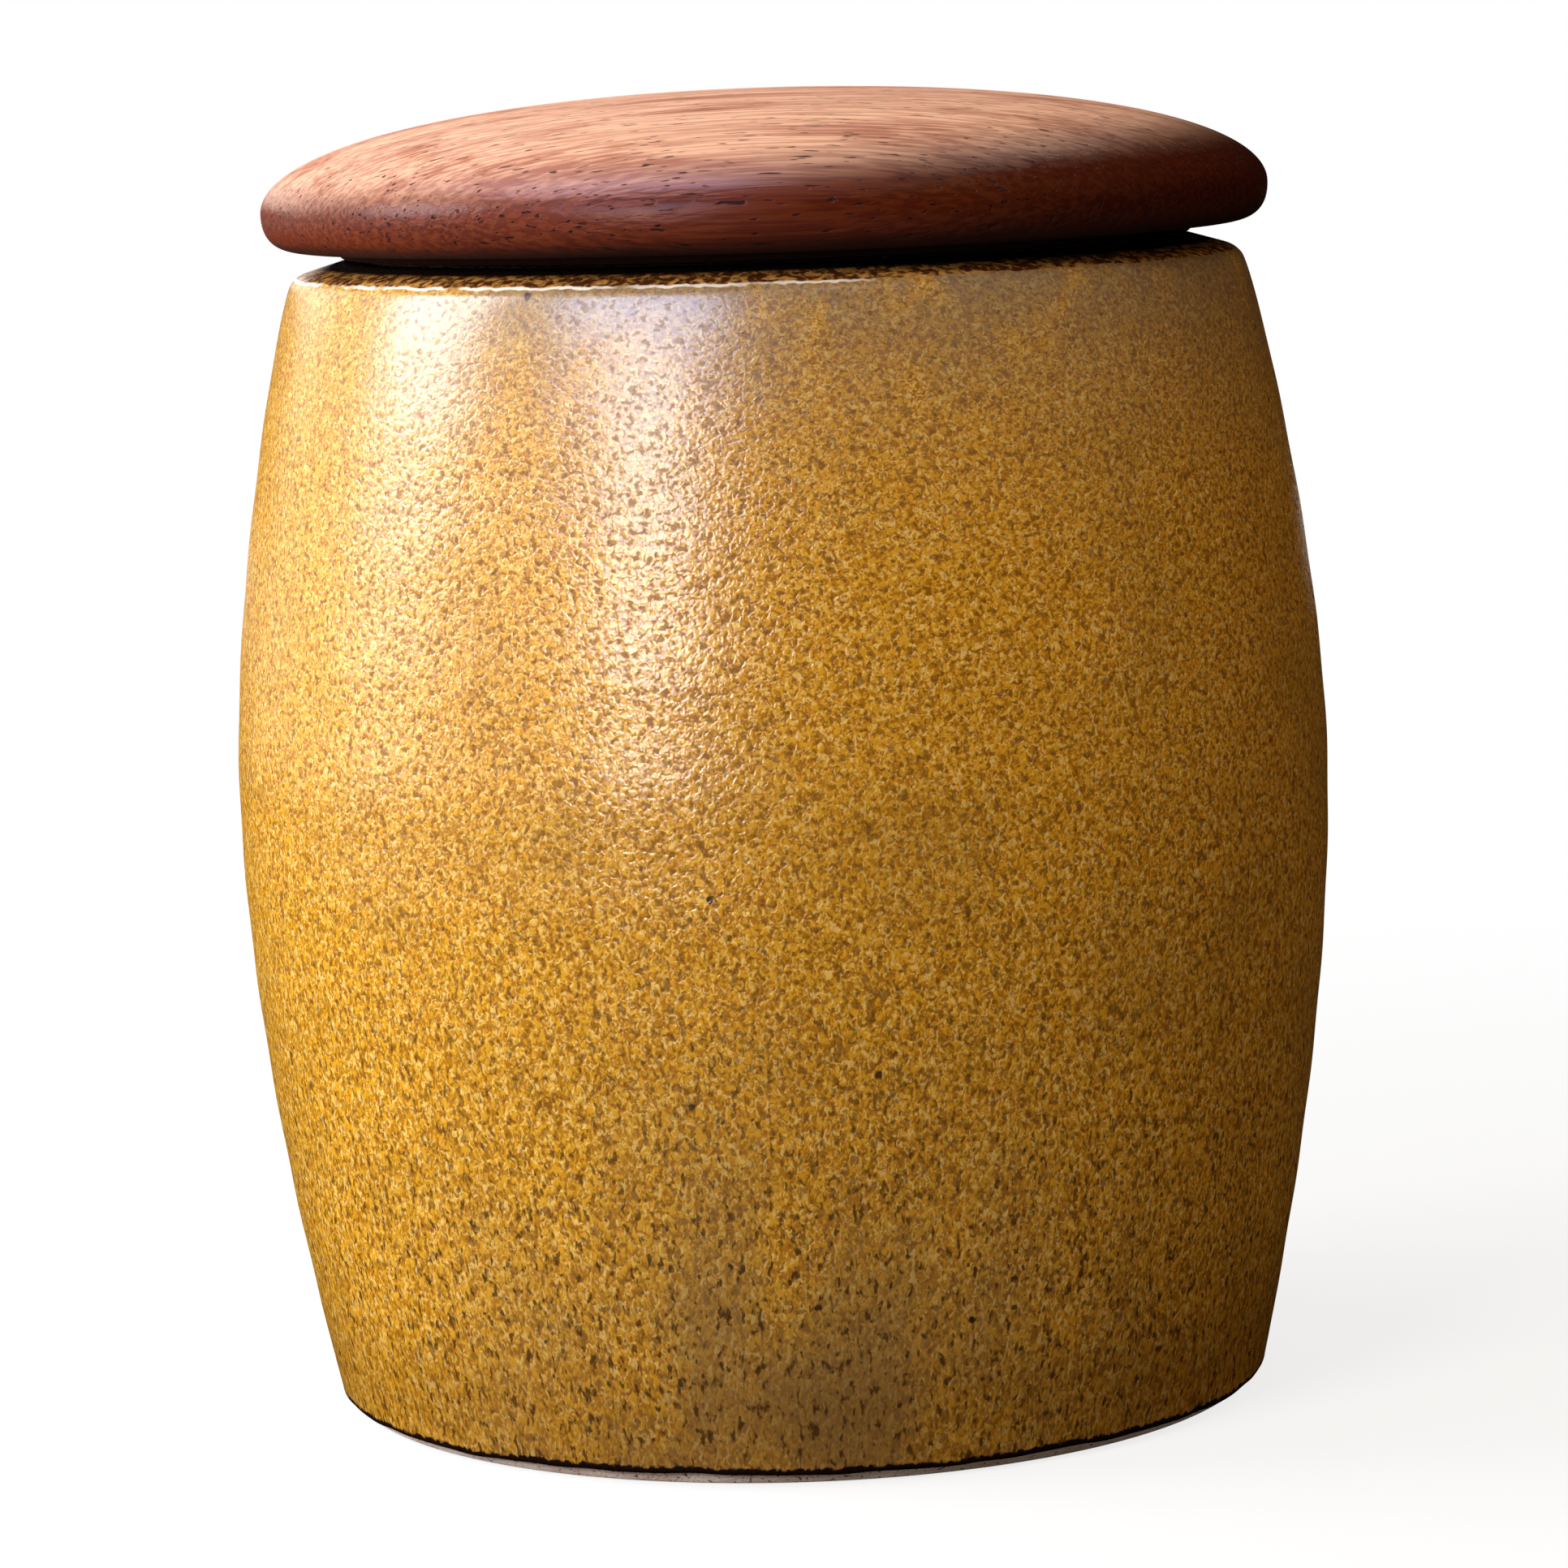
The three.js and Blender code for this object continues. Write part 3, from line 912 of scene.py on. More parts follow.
@dataclass(frozen=True)
class TurnedHardwood(Finish):
    """Reddish-brown open-pored hardwood, turned and sanded, with its grain along X.

    The eye sees soft growth rings, long fine fibres, short dark pores, and the satin of oil on the turned
    edge. Painted shade darkens the right and the underside of the edge, and painted light makes the dry
    top pale, further down on the left.
    """

    name: str = "oiled_hardwood"
    mid: str = "#64240A"
    pale: str = "#763415"
    dark: str = "#3E0F05"
    # Painted shade towards the right.
    right_shade: str = "#1E0603"
    pore: str = "#1A0703"
    # Painted shade on the underside of the edge.
    shade: str = "#240A05"
    # The top's pale colour is painted light, reaching further down on the left.
    painted_lit_top: str = "#F6C2A0"
    painted_lit_top_dark: str = "#AA6E52"
    lit_top_shade_and_dull_share: float = 0.9
    shade_foot: float = 133.2
    shade_top: float = 135.2
    lit_top_foot: float = 139.5
    lit_top_full: float = 145.5
    lit_top_tilt: float = 0.04
    gleam_foot: float = 133.2
    gleam_top: float = 139.0
    right_shade_start: float = -35.0
    right_shade_full: float = 44.0
    right_shade_share: float = 0.6
    specular: float = 0.12
    roughness: float = 0.26
    dry_roughness: float = 0.85
    ring_spacing: float = 6.0
    ring_centre: tuple[float, float, float] = (0.0, -30.0, 60.0)
    ring_turn: float = 3.0
    ring_warp: float = 1.6
    ring_detail: float = 2.0
    ring_detail_scale: float = 0.6
    ring_levels: tuple[float, float] = (0.4, 0.75)
    ring_share: float = 0.5
    fibres: Mottle = Mottle((16.0, 0.6, 0.6), (0.38, 0.66), 3.0)
    fibre_share: float = 0.6
    fibre_depth_share: float = 0.4
    figure: Mottle = Mottle((26.0, 5.0, 5.0), (0.48, 0.64), 3.0, span=(0.0, -0.4))
    pores: Mottle = Mottle((2.6, 0.5, 0.5), (0.65, 0.73), 1.0)
    pore_share: float = 0.85
    pore_depth: float = 0.08

    def ring_bands(self, tree: bpy.types.NodeTree, place: bpy.types.NodeSocket) -> bpy.types.Node:
        """Add growth rings round the tree's pith.

        Args:
            tree: The node tree.
            place: The object's own coordinates.

        Returns:
            The node whose output is high in the pale bands.
        """
        put = partial(add_node, tree)
        pith = tuple(-side * MM for side in self.ring_centre)
        turn = (0.0, 0.0, math.radians(self.ring_turn))
        shifted = put("Mapping", {"Vector": place, "Location": pith, "Rotation": turn})
        # A wave of rings has 20 radians to each unit of its scale.
        wave = {"Vector": shifted, "Scale": math.tau / 20 / (self.ring_spacing * MM)}
        detail = {"Detail": self.ring_detail, "Detail Scale": self.ring_detail_scale}
        shape = {"wave_type": "RINGS", "rings_direction": "X", "wave_profile": "SIN"}
        rings = put("TexWave", {**wave, "Distortion": self.ring_warp, **detail}, **shape)
        low, high = self.ring_levels
        return put("MapRange", {"Value": rings.outputs["Fac"], "To Min": low, "To Max": high})

    def shader(self, tree: bpy.types.NodeTree) -> bpy.types.Node:
        """Build the wood's nodes.

        Args:
            tree: The material's node tree.

        Returns:
            The wood's shader.
        """
        put = partial(add_node, tree)
        place = put("TexCoord").outputs["Object"]
        part = put("SeparateXYZ", {"Vector": place}).outputs
        band = self.ring_bands(tree, place)
        fibres = self.fibres.add(tree, place)
        fibre_cover = put("Math", {0: fibres, 1: self.fibre_share}, operation="MULTIPLY")
        pores = self.pores.add(tree, place)
        pore_cover = put("Math", {0: pores, 1: self.pore_share}, operation="MULTIPLY")
        tilted = put("Math", {0: part["X"], 1: -self.lit_top_tilt, 2: part["Z"]}, operation="MULTIPLY_ADD")
        # The ramps: painted shade to the right, the dry top painted pale as lit, painted shade under the edge,
        # and the dull side.
        ramps = (
            (part["X"], self.right_shade_start, self.right_shade_full, self.right_shade_share),
            (tilted, self.lit_top_foot, self.lit_top_full, self.lit_top_shade_and_dull_share),
            (part["Z"], self.shade_top, self.shade_foot, self.lit_top_shade_and_dull_share),
            (part["Z"], self.gleam_top, self.gleam_foot, self.lit_top_shade_and_dull_share),
        )
        covers = []
        for value, start, end, share in ramps:
            ramp = {"Value": value, "From Min": start * MM, "From Max": end * MM, "To Max": share}
            covers.append(put("MapRange", ramp, interpolation_type="SMOOTHSTEP"))
        right_shade, fade, shade, dull = covers
        streak = put("Math", {0: band, 1: self.ring_share, 2: fibre_cover}, operation="MULTIPLY_ADD")
        streak = put("Math", {0: streak, 1: self.figure.add(tree, place)}, operation="ADD")
        layers = (
            (band, self.mid),
            (fibre_cover, self.pale),
            (right_shade, self.right_shade),
            (fade, laid_over(tree, self.painted_lit_top_dark, ((streak, self.painted_lit_top),))),
            (shade, self.shade),
            (pore_cover, self.pore),
        )
        # The painted light top, which is also dry, and the dull side lie apart, so their dryness adds up.
        dry = put("Math", {0: fade, 1: fade, 2: dull}, operation="MULTIPLY_ADD")
        dulled = put("Math", {0: pores, 1: dry}, operation="MAXIMUM")
        gloss = {"Value": dulled, "To Min": self.roughness, "To Max": self.dry_roughness}
        pits = put("Math", {0: fibres, 1: self.fibre_depth_share, 2: pores}, operation="MULTIPLY_ADD")
        look = {
            "Base Color": laid_over(tree, self.dark, layers),
            "Roughness": put("MapRange", gloss),
            "Specular IOR Level": self.specular,
            "Normal": put("Bump", {"Height": pits, "Distance": self.pore_depth * MM}, invert=True),
        }
        return put("BsdfPrincipled", look)


@dataclass(frozen=True)
class StudioPaper(Finish):
    """White seamless paper, which looks white but sends little light back onto the jar.

    The jar's shadow shows near it, and fades to plain white further off.
    """

    name: str = "white_paper"
    paper: str = "#F4F4F4"
    white: str = "#FFFFFF"
    bounce: str = "#68625C"
    near_glow: float = 0.8
    near: float = 0.10
    far: float = 0.40

    def shader(self, tree: bpy.types.NodeTree) -> bpy.types.Node:
        """Build the paper's nodes.

        Args:
            tree: The material's node tree.

        Returns:
            The paper's shader.
        """
        put = partial(add_node, tree)
        lit = put("BsdfDiffuse", {"Color": linear(self.paper)})
        glow = put("Emission", {"Color": linear(self.white), "Strength": 1.0})
        reach = put("VectorMath", {0: put("TexCoord").outputs["Object"]}, operation="LENGTH")
        fade = {"Value": reach.outputs["Value"], "From Min": self.near, "From Max": self.far}
        share = put("MapRange", {**fade, "To Min": self.near_glow}, interpolation_type="SMOOTHSTEP")
        seen = put("MixShader", {0: share, 1: lit, 2: glow})
        dull = put("BsdfDiffuse", {"Color": linear(self.bounce)})
        return put("MixShader", {0: seen_ray(tree), 1: dull, 2: seen})


@dataclass(frozen=True)
class BlackCloth(Finish):
    """Black cloth with a faint uneven nap."""

    name: str = "black_cloth"
    cloth: str = "#0C0C0C"
    nap: str = "#161514"
    nap_clouds: Mottle = Mottle((40.0, 40.0, 40.0), (0.4, 0.7))

    def shader(self, tree: bpy.types.NodeTree) -> bpy.types.Node:
        """Build the cloth's nodes.

        Args:
            tree: The material's node tree.

        Returns:
            The cloth's shader.
        """
        place = add_node(tree, "TexCoord").outputs["Object"]
        colour = laid_over(tree, self.cloth, ((self.nap_clouds.add(tree, place), self.nap),))
        return add_node(tree, "BsdfDiffuse", {"Color": colour})


def seen_ray(tree: bpy.types.NodeTree) -> bpy.types.Node:
    """Tell the rays that show a surface from the rays that it only lights.

    Args:
        tree: The node tree.

    Returns:
        The node whose output is 1 for a ray from the camera, a gloss or a glass, and 0 for any other.
    """
    rays = add_node(tree, "LightPath").outputs
    direct = {0: rays["Is Camera Ray"], 1: rays["Is Glossy Ray"]}
    mirrored = add_node(tree, "Math", direct, operation="MAXIMUM")
    return add_node(tree, "Math", {0: mirrored, 1: rays["Is Transmission Ray"]}, operation="MAXIMUM")


# The jar


@dataclass(frozen=True)
class Rings:
    """Rings that fingers or a tool leave in turned clay.

    Attributes:
        depth: How far they stand up and sink, in millimetres.
        spacing: The step from ring to ring, in millimetres.
        ends: Where they start, are full, start to fade, and end, in millimetres.
    """

    depth: float
    spacing: float
    ends: tuple[float, float, float, float]

    def wave(self, along: np.ndarray, shift: np.ndarray, lift: float = 0.0) -> np.ndarray:
        """Give the rings' height above the surface.

        Args:
            along: Where each point lies along the surface, in millimetres.
            shift: By how many radians the rings are shifted.
            lift: How many depths the rings are lifted by.

        Returns:
            The height at each point, in millimetres.
        """
        full = np.interp(along, self.ends, (0.0, 1.0, 1.0, 0.0))
        return full * self.depth * (lift + np.sin(math.tau * along / self.spacing + shift))


@dataclass
class Jar:
    """The thrown stoneware jar: bare foot, glazed wall and rim, and a lined inside."""

    EDGE_ATTRIBUTE = "above_glaze_edge"

    rim_height: float = 132.0
    belly_radius: float = 62.9
    belly_height: float = 71.3
    shoulder_radius: float = 53.8
    shoulder_drop: float = 1.6
    shoulder_round: float = 1.1
    shoulder_lean: float = 35.0
    foot_radius: float = 52.3
    foot_bevel: float = 1.8
    foot_flare: float = 12.5
    foot_ring_width: float = 7.0
    base_recess: float = 2.0
    rim_width: float = 7.8
    rim_land: float = 1.6
    mouth_round: float = 0.8
    collar_depth: float = 18.0
    collar_flare: float = 14.0
    wall_thickness: float = 6.5
    floor: float = 8.0
    floor_corner: float = 9.0
    belly_fullness: float = 0.41
    foot_fullness: float = 0.17
    shoulder_fullness: float = 0.04
    collar_fullness: float = 0.5
    glaze_thickness: float = 0.3
    glaze_edge: float = 1.1
    drift_foot: float = 0.2
    drift_full: float = 2.5
    drift_top: float = 7.0
    drift_lean: float = 0.2
    wall_rings: Rings = Rings(0.04, 13.0, (4.0, 15.0, 115.0, 127.0))
    wall_sway: float = 0.9
    chamber_rings: Rings = Rings(0.2, 7.0, (20.0, 30.0, 92.0, 104.0))
    floor_rings: Rings = Rings(0.15, 6.0, (2.0, 8.0, 38.0, 44.0))
    turning_depth: float = 0.05
    turning_spacing: float = 2.4
    turning_margin: float = 3.0
    segments: int = 256
    wall_steps: int = 70
    lip_steps: int = 8
    mouth_steps: int = 6
    flare_steps: int = 14
    corner_steps: int = 12
    piece: bpy.types.Object = field(init=False)

    @property
    def mouth_radius(self) -> float:
        """The radius of the mouth."""
        return self.shoulder_radius - self.rim_width

    def outer_wall(self) -> list[Point]:
        """Walk the outside of the wall.

        Returns:
            The points from the top of the foot's bevel to the start of the shoulder's edge.
        """
        flare = math.radians(self.foot_flare)
        lean = math.radians(self.shoulder_lean)
        foot = (self.foot_radius + self.foot_bevel, self.foot_bevel)
        belly = (self.belly_radius, self.belly_height)
        corner = (self.shoulder_radius, self.rim_height - self.shoulder_drop)
        edge = (
            corner[0] + self.shoulder_round * math.sin(lean),
            corner[1] - self.shoulder_round * math.cos(lean),
        )
        lower_rise = belly[1] - foot[1]
        upper_rise = edge[1] - belly[1]
        foot_reach = self.foot_fullness * lower_rise
        edge_reach = self.shoulder_fullness * upper_rise
        lower = (
            foot,
            (foot[0] + foot_reach * math.sin(flare), foot[1] + foot_reach * math.cos(flare)),
            (belly[0], belly[1] - self.belly_fullness * lower_rise),
            belly,
        )
        upper = (
            belly,
            (belly[0], belly[1] + self.belly_fullness * upper_rise),
            (edge[0] + edge_reach * math.sin(lean), edge[1] - edge_reach * math.cos(lean)),
            edge,
        )
        return bezier(lower, self.wall_steps) + bezier(upper, self.wall_steps)[1:]

    def section(self) -> list[Stretch]:
        """Lay out the half section.

        Returns:
            The bare base and foot, the glazed wall and rim, and the lined inside.
        """
        wall = self.outer_wall()
        ring_inside = self.foot_radius - self.foot_ring_width
        glaze = self.glaze_thickness
        bevel_top = (self.foot_radius + self.glaze_edge - glaze, self.glaze_edge)
        base = rounded(
            (
                (0.0, self.base_recess, 0.0),
                (ring_inside - self.base_recess, self.base_recess, 0.8),
                (ring_inside, 0.0, 0.6),
                (self.foot_radius, 0.0, 0.4),
                (*bevel_top, 0.0),
            ),
            step=0.6,
        )
        glazed_wall = [point for point in wall if point[1] > self.glaze_edge + 2 * glaze]
        lip_corner = (self.foot_radius + self.foot_bevel, self.glaze_edge)
        lip = bezier((bevel_top, lip_corner, glazed_wall[0]), self.lip_steps)
        corner = (self.shoulder_radius, self.rim_height - self.shoulder_drop)
        crest = (self.mouth_radius + self.mouth_round + self.rim_land, self.rim_height)
        slope = np.subtract(crest, corner) / math.dist(crest, corner)
        slope_start = tuple(np.add(corner, slope * self.shoulder_round).tolist())
        land_end = (self.mouth_radius + self.mouth_round, self.rim_height)
        rim = rounded(((*slope_start, 0.0), (*crest, 0.6), (*land_end, 0.0)), step=0.5)
        shoulder = bezier((wall[-1], corner, slope_start), self.lip_steps)
        outside = lip + glazed_wall + shoulder + rim
        return [
            Stretch(base, Coat.BARE),
            Stretch(outside, Coat.GLAZE),
            Stretch(self.inside(wall), Coat.LINER),
        ]

    def inside(self, wall: list[Point]) -> list[Point]:
        """Walk the inside: mouth, collar, flare, wall, floor corner and floor.

        Args:
            wall: The outside of the wall.

        Returns:
            The points of the inside, from the mouth to the middle of the floor.
        """
        radii, heights = np.array(wall).T
        collar_foot = self.rim_height - self.collar_depth
        flare_foot = collar_foot - self.collar_flare
        corner_top = self.floor + self.floor_corner
        levels = np.linspace(flare_foot, corner_top, self.wall_steps)
        inner = [(r - self.wall_thickness, h) for r, h in zip(np.interp(levels, heights, radii), levels)]
        reach = self.collar_fullness * self.collar_flare
        mouth = self.mouth_radius
        mouth_edge = (
            (mouth + self.mouth_round, self.rim_height),
            (mouth, self.rim_height),
            (mouth, self.rim_height - self.mouth_round),
        )
        flare = (
            (mouth, collar_foot),
            (mouth, collar_foot - reach),
            (inner[0][0], flare_foot + reach),
            inner[0],
        )
        corner = (
            inner[-1],
            (inner[-1][0], self.floor),
            (inner[-1][0] - self.floor_corner, self.floor),
        )
        collar = rounded(((*mouth_edge[-1], 0.0), (*flare[0], 0.0)), step=1.5)
        floor = rounded(((*corner[-1], 0.0), (0.0, self.floor, 0.0)), step=0.8)
        return [
            *bezier(mouth_edge, self.mouth_steps),
            *collar,
            *bezier(flare, self.flare_steps),
            *inner,
            *bezier(corner, self.corner_steps),
            *floor,
        ]

    @staticmethod
    def edge_wave(angle: np.ndarray) -> np.ndarray:
        """Say how far the glaze's lower edge wanders up or down at each angle, in millimetres."""
        waves = ((0.12, 3, 0.7), (0.09, 7, 2.1), (0.06, 17, 0.4), (0.05, 31, 1.3), (0.03, 53, 2.6))
        return sum(size * np.sin(count * angle + start) for size, count, start in waves)

    def relief(
        self, angle: np.ndarray, radius: np.ndarray, height: np.ndarray
    ) -> tuple[np.ndarray, np.ndarray]:
        """Add what the potter's hands leave: a wandering glaze edge, throwing rings and turning lines.

        Args:
            angle: The angle of each row of the grid.
            radius: The radius of each point, in millimetres.
            height: The height of each point, in millimetres.

        Returns:
            The radii and the heights with the relief. The outside only moves inwards.
        """
        outside = radius > self.foot_radius - ON_FACE
        outside &= height < self.rim_height - self.shoulder_drop - self.shoulder_round
        inside = ~outside & (height > self.floor - ON_FACE) & (height < self.rim_height - self.collar_depth)
        at_floor = inside & (height < self.floor + ON_FACE)
        base_reach = self.foot_radius - self.foot_ring_width - self.turning_margin
        under = (height < self.base_recess + ON_FACE) & (radius < base_reach)
        drift_ends = (self.drift_foot, self.glaze_edge, self.drift_full, self.drift_top)
        near_edge = np.interp(height, drift_ends, (0.0, 1.0, 1.0, 0.0))
        drift = np.where(outside, near_edge * self.edge_wave(angle), 0.0)
        thrown = self.wall_rings.wave(height, self.wall_sway * np.sin(angle), lift=1.0)
        rings = self.chamber_rings.wave(height, angle)
        spiral = self.floor_rings.wave(radius, -angle)
        turned = self.turning_depth * np.sin(math.tau * radius / self.turning_spacing)
        height = height + drift + np.where(at_floor, spiral, 0.0) + np.where(under, turned, 0.0)
        radius = radius + self.drift_lean * drift - np.where(outside, thrown, 0.0)
        radius = radius + np.where(inside & ~at_floor, rings, 0.0)
        return radius, height

    def build(self) -> None:
        """Make the jar's mesh, with each point's rise above the glaze's lower edge."""
        mesh = revolve("glazed_jar", self.section(), self.segments, self.relief)
        place = np.zeros(len(mesh.vertices) * 3)
        mesh.vertices.foreach_get("co", place)
        x, y, z = place.reshape(-1, 3).T
        rise = z / MM - self.glaze_edge - self.edge_wave(np.arctan2(y, x))
        mesh.attributes.new(self.EDGE_ATTRIBUTE, "FLOAT", "POINT").data.foreach_set("value", rise)
        self.piece = add_piece(mesh, "jar_body", Body.JAR)

    def dress(self) -> None:
        """Give each coat its finish, in the order of Coat."""
        for finish in (BareStoneware(), OchreGlaze(), LinerGlaze()):
            self.piece.data.materials.append(finish.material())


# The lid


@dataclass
class Lid:
    """The turned cap with its plug, the screws between them, and the seal in the plug's groove."""

    seat_height: float = 132.3
    radius: float = 57.5
    thickness: float = 17.7
    edge_height: float = 5.3
    edge_undercut: float = 4.6
    underside_relief: float = 1.0
    seat_radius: float = 48.4
    crown_fullness: float = 0.57
    edge_fullness: float = 0.61
    joint_gap: float = 0.25
    plug_radius: float = 45.2
    plug_thickness: float = 14.0
    plug_chamfer: float = 1.5
    groove_radius: float = 41.4
    groove_foot: float = 3.7
    groove_top: float = 8.3
    recess_radius: float = 20.3
    recess_depth: float = 9.3
    seal_inside: float = 41.7
    seal_outside: float = 45.7
    seal_foot: float = 4.0
    seal_height: float = 4.0
    seal_round: float = 1.2
    rib_gap: float = 0.9
    rib_depth: float = 0.35
    screw_circle: float = 32.2
    screw_length: float = 23.75
    screw_radius: float = 1.75
    screw_point: float = 3.0
    head_radius: float = 3.5
    head_height: float = 2.0
    head_lip: float = 0.4
    screw_clearance: float = 0.25
    plain_shank: float = 3.0
    thread_pitch: float = 1.5
    thread_depth: float = 0.45
    thread_run_in: float = 1.0
    thread_share: float = 0.4
    thread_step: float = 0.2
    hole_step: float = 4.0
    slot_width: float = 0.9
    slot_depth: float = 1.0
    slot_turns: tuple[float, ...] = (25.0, 80.0, 140.0)
    segments: int = 256
    edge_steps: int = 18
    crown_steps: int = 80
    screw_segments: int = 40
    wood_pieces: dict[str, bpy.types.Object] = field(default_factory=dict)
    screws: list[bpy.types.Object] = field(default_factory=list)
    seal: bpy.types.Object = field(init=False)

    @property
    def plug_foot(self) -> float:
        """The height of the plug's lower face."""
        return self.seat_height - self.joint_gap - self.plug_thickness

    def screw_places(self) -> list[Point]:
        """Where the screws stand round the axis."""
        angles = [math.tau * i / len(self.slot_turns) for i in range(len(self.slot_turns))]
        return [(self.screw_circle * math.cos(a), self.screw_circle * math.sin(a)) for a in angles]

    def thread(
        self, angle: np.ndarray, radius: np.ndarray, height: np.ndarray
    ) -> tuple[np.ndarray, np.ndarray]:
        """Cut a thread into a screw's shank.

        Args:
            angle: The angle of each row of the grid.
            radius: The radius of each point, in millimetres.
            height: The height of each point above the head's face, in millimetres.

        Returns:
            The radii with the thread, and the heights as they were.
        """
        turn = (height / self.thread_pitch - angle / math.tau) % 1.0
        ridge = 1 - np.abs(2 * turn - 1)
        plain_end = self.head_lip + self.head_height + self.plain_shank
        share = np.interp(height, (plain_end, plain_end + self.thread_run_in), (0.0, 1.0))
        depth = np.minimum(self.thread_depth, self.thread_share * radius)
        return radius - share * depth * (1 - ridge), height

    def screw_shape(self, name: str, grown: float, threaded: bool) -> bpy.types.Mesh:
        """Turn a countersunk screw, head down with its face at height 0.

        Args:
            name: The mesh's name.
            grown: How much to grow it all round, for the hole it sits in.
            threaded: Whether the shank has its thread.

        Returns:
            The mesh.
        """
        head = self.head_radius + grown
        shank = self.screw_radius + grown
        corners = (
            (0.0, -grown, 0.0),
            (head, -grown, 0.1),
            (head, self.head_lip, 0.1),
            (shank, self.head_lip + self.head_height, 0.5),
            (shank, self.screw_length - self.screw_point, 0.4),
            (0.0, self.screw_length + grown, 0.0),
        )
        points = rounded(corners, self.thread_step if threaded else self.hole_step, bend_steps=3)
        relief = self.thread if threaded else None
        return revolve(name, [Stretch(points)], self.screw_segments, relief)

    def screw_holes(self) -> list[bpy.types.Mesh]:
        """Make the cuts for the screws, where they stand."""
        return [
            moved(self.screw_shape("screw_hole", self.screw_clearance, False), x, y, self.plug_foot)
            for x, y in self.screw_places()
        ]

    def build_cap(self) -> None:
        """Make the cap: seat, relieved underside, full round edge and low crown."""
        inner = self.radius - self.edge_undercut
        relief = self.underside_relief
        corners = (
            (0.0, 0.0, 0.0),
            (self.seat_radius, 0.0, 0.2),
            (self.seat_radius + relief, relief, 0.2),
            (inner, relief, 0.0),
        )
        underside = rounded(corners, step=4.0)
        bend = ((inner, relief), (self.radius, relief), (self.radius, self.edge_height))
        edge = bezier(bend, self.edge_steps)
        crown_rise = self.thickness - self.edge_height
        crown = (
            (self.radius, self.edge_height),
            (self.radius, self.edge_height + self.edge_fullness * crown_rise),
            (self.crown_fullness * self.radius, self.thickness),
            (0.0, self.thickness),
        )
        section = [Stretch(underside + edge + bezier(crown, self.crown_steps))]
        cap = moved(revolve("turned_cap", section, self.segments), z=self.seat_height)
        cap = cut(cap, self.screw_holes())
        self.wood_pieces["cap"] = add_piece(cap, "lid_cap", Body.LID)

    def build_plug(self) -> None:
        """Make the plug: chamfered foot, seal groove, recess for the humidifier, and countersunk holes."""
        corners = (
            (0.0, self.recess_depth, 0.0),
            (self.recess_radius, self.recess_depth, 0.6),
            (self.recess_radius, 0.0, 0.4),
            (self.plug_radius - self.plug_chamfer, 0.0, 0.5),
            (self.plug_radius, self.plug_chamfer, 0.5),
            (self.plug_radius, self.groove_foot, 0.3),
            (self.groove_radius, self.groove_foot, 0.3),
            (self.groove_radius, self.groove_top, 0.3),
            (self.plug_radius, self.groove_top, 0.3),
            (self.plug_radius, self.plug_thickness, 0.3),
            (0.0, self.plug_thickness, 0.0),
        )
        section = [Stretch(rounded(corners, step=2.0))]
        plug = moved(revolve("turned_plug", section, self.segments // 2), z=self.plug_foot)
        plug = cut(plug, self.screw_holes())
        self.wood_pieces["plug"] = add_piece(plug, "lid_plug", Body.LID)

    def build_screws(self) -> None:
        """Make the screws, each with its slot turned its own way."""
        for number, ((x, y), turn) in enumerate(zip(self.screw_places(), self.slot_turns), start=1):
            screw = self.screw_shape(f"brass_screw_{number}", 0.0, True)
            # The slot's cut is longer than the head is wide, and half of it stands outside the head's face.
            slot_size = Vector((3 * self.head_radius, self.slot_width, 2 * self.slot_depth))
            slot = block_mesh("screw_slot", slot_size)
            slot.transform(Matrix.Rotation(math.radians(turn), 4, "Z"))
            screw = moved(cut(screw, [slot]), x, y, self.plug_foot)
            self.screws.append(add_piece(screw, f"plug_screw_{number}", Body.LID))

    def build_seal(self) -> None:
        """Make the seal: a ring with two ribs towards the mouth."""
        middle = self.seal_height / 2
        valley = self.seal_outside - self.rib_depth
        half = self.rib_gap / 2
        corners = (
            (self.seal_inside, middle, 0.0),
            (self.seal_inside, 0.0, 0.3),
            (self.seal_outside, 0.0, self.seal_round),
            (self.seal_outside, middle - half, 0.2),
            (valley, middle - half / 2, 0.2),
            (valley, middle + half / 2, 0.2),
            (self.seal_outside, middle + half, 0.2),
            (self.seal_outside, self.seal_height, self.seal_round),
            (self.seal_inside, self.seal_height, 0.3),
            (self.seal_inside, middle, 0.0),
        )
        section = [Stretch(rounded(corners, step=0.6))]
        ring = revolve("ribbed_seal", section, self.segments)
        ring = moved(ring, z=self.plug_foot + self.seal_foot)
        self.seal = add_piece(ring, "seal_ring", Body.SEAL)

    def build(self) -> None:
        """Make the lid's meshes."""
        self.build_cap()
        self.build_plug()
        self.build_screws()
        self.build_seal()

    def dress(self) -> None:
        """Give the wood, the screws and the seal their finishes."""
        plain = TurnedHardwood(
            name="plain_hardwood",
            mid="#8E5531",
            pale="#B07C4C",
            dark="#6A381E",
            pore="#43230F",
            lit_top_shade_and_dull_share=0.0,
            right_shade_share=0.0,
            roughness=0.6,
        )
        self.wood_pieces["cap"].data.materials.append(TurnedHardwood().material())
        self.wood_pieces["plug"].data.materials.append(plain.material())
        machined = DulledBrass(name="machined_brass", grain=Mottle((0.3, 4.0, 4.0))).material()
        for screw in self.screws:
            screw.data.materials.append(machined)
        self.seal.data.materials.append(MouldedRubber().material())


# The humidifier


